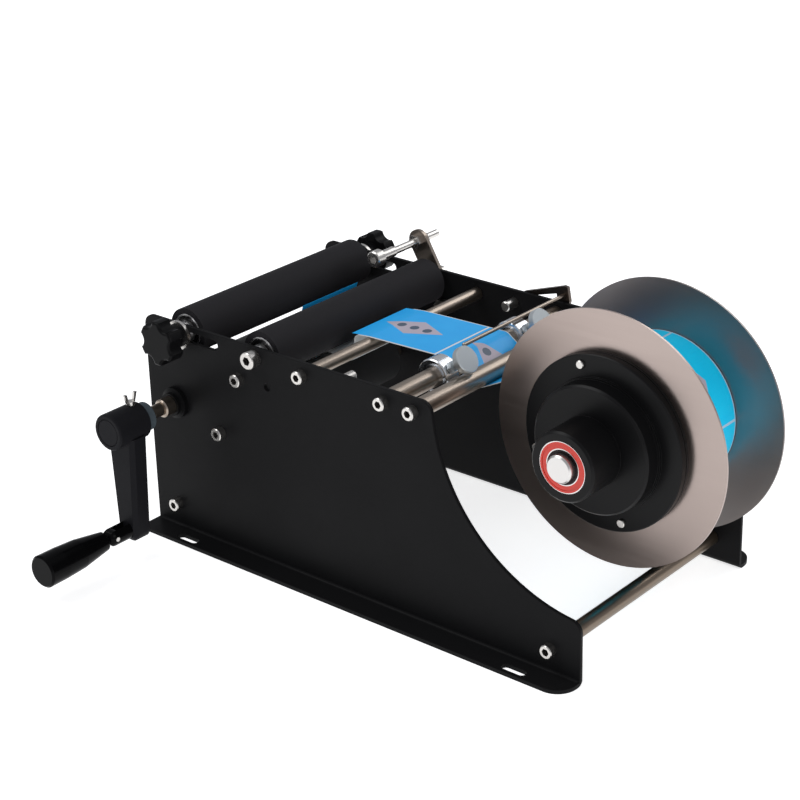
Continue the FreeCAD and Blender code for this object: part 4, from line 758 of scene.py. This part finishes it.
# %% [markdown]
# ## The print
# The labels are cyan, and the backing shows as a white line round each. Their motif is a plain
# one: a pale lozenge band with three discs. It is drawn by comparing the UV distances in
# millimetres, so its edges stay sharp at any size.

# %% Printed label material
MOTIF_ALONG = 44
MOTIF_ACROSS = 31
LOZENGE_LENGTH = 27
LOZENGE_WIDTH = 13
DISC_PITCH = 12
DISC_RADIUS = 3.6


def printed_label(name, dark, light):
    """Cyan between two tints, with the motif; sizes are millimetres on the label."""
    material, shader = start_finish(name, "#1d9fe2", 0.36, IOR=1.5, Coat_Weight=0.08,
                                    Coat_Roughness=0.15, Specular_IOR_Level=0.3)
    uv = add(material, "ShaderNodeUVMap", uv_map="print")
    spot = add(material, "ShaderNodeSeparateXYZ", {"Vector": uv.outputs["UV"]})
    along, across = spot.outputs["X"], spot.outputs["Y"]

    def math_node(operation, first, second):
        """One sum on sockets or plain numbers."""
        node = add(material, "ShaderNodeMath", operation=operation)
        for place, value in enumerate((first, second)):
            if isinstance(value, (int, float)):
                node.inputs[place].default_value = value
            else:
                feed(material, value, node.inputs[place])
        return node.outputs["Value"]

    def disc(x, y, radius):
        dx = math_node("SUBTRACT", along, x)
        dy = math_node("SUBTRACT", across, y)
        square = math_node("ADD", math_node("MULTIPLY", dx, dx),
                           math_node("MULTIPLY", dy, dy))
        return math_node("LESS_THAN", square, radius * radius)

    def lozenge(x, y, half_x, half_y):
        dx = math_node("DIVIDE", math_node("ABSOLUTE", math_node("SUBTRACT", along, x), 0),
                       half_x)
        dy = math_node("DIVIDE", math_node("ABSOLUTE", math_node("SUBTRACT", across, y), 0),
                       half_y)
        return math_node("LESS_THAN", math_node("ADD", dx, dy), 1.0)

    def paint(under, colour, mask):
        mix = add(material, "ShaderNodeMix", {"Factor": mask}, data_type="RGBA")
        if isinstance(under, str):
            mix.inputs["A"].default_value = linear(under)
        else:
            feed(material, under, mix.inputs["A"])
        mix.inputs["B"].default_value = linear(colour)
        return mix.outputs["Result"]

    shade = add(material, "ShaderNodeTexNoise", {"Vector": uv.outputs["UV"]},
                {"Scale": 0.05, "Detail": 1.0})
    ground = add(material, "ShaderNodeMix", {"Factor": shade.outputs["Fac"]},
                 data_type="RGBA")
    ground.inputs["A"].default_value = linear(dark)
    ground.inputs["B"].default_value = linear(light)
    band = paint(ground.outputs["Result"], "#b7aebc",
                 lozenge(MOTIF_ALONG, MOTIF_ACROSS, LOZENGE_LENGTH, LOZENGE_WIDTH))
    for step in (-DISC_PITCH, 0, DISC_PITCH):
        band = paint(band, "#4a5a6e", disc(MOTIF_ALONG + step, MOTIF_ACROSS, DISC_RADIUS))
    feed(material, band, shader.inputs["Base Color"])
    return material


web_print = printed_label("gloss_printed_label", "#12a4f2", "#22b6fb")
# The labels on the roll take a brighter copy of the same cyan: painted light where the fill light
# falls on the roll.
roll_print_painted_light = printed_label("printed_label_painted_light", "#08cbff", "#14d6ff")
for label in web_labels + roll_labels + [peeled]:
    label.data.materials.clear()
    label.data.materials.append(roll_print_painted_light if label in roll_labels else web_print)
    solid = label.modifiers.new("thickness", "SOLIDIFY")
    solid.thickness = LABEL_THICKNESS
    solid.offset = 1
    bpy.context.view_layer.objects.active = label
    bpy.ops.object.modifier_apply(modifier="thickness")
for label in web_labels + [peeled]:
    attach(label, "frame")
for label in roll_labels:
    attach(label, "reel")
print("printed labels:", len(web_labels) + len(roll_labels) + 1)

# %% [markdown]
# ## The light table's sheet
# The sheet is opal acrylic: white, matt and slightly glowing.

# %% Finish of the table
table, table_shader = start_finish("glowing_white_sheet", "#efefef", 0.6, IOR=1.49,
                                   Emission_Color=(1, 1, 1, 1), Emission_Strength=0.72)
floor.data.materials.append(table)
print("light table dressed")
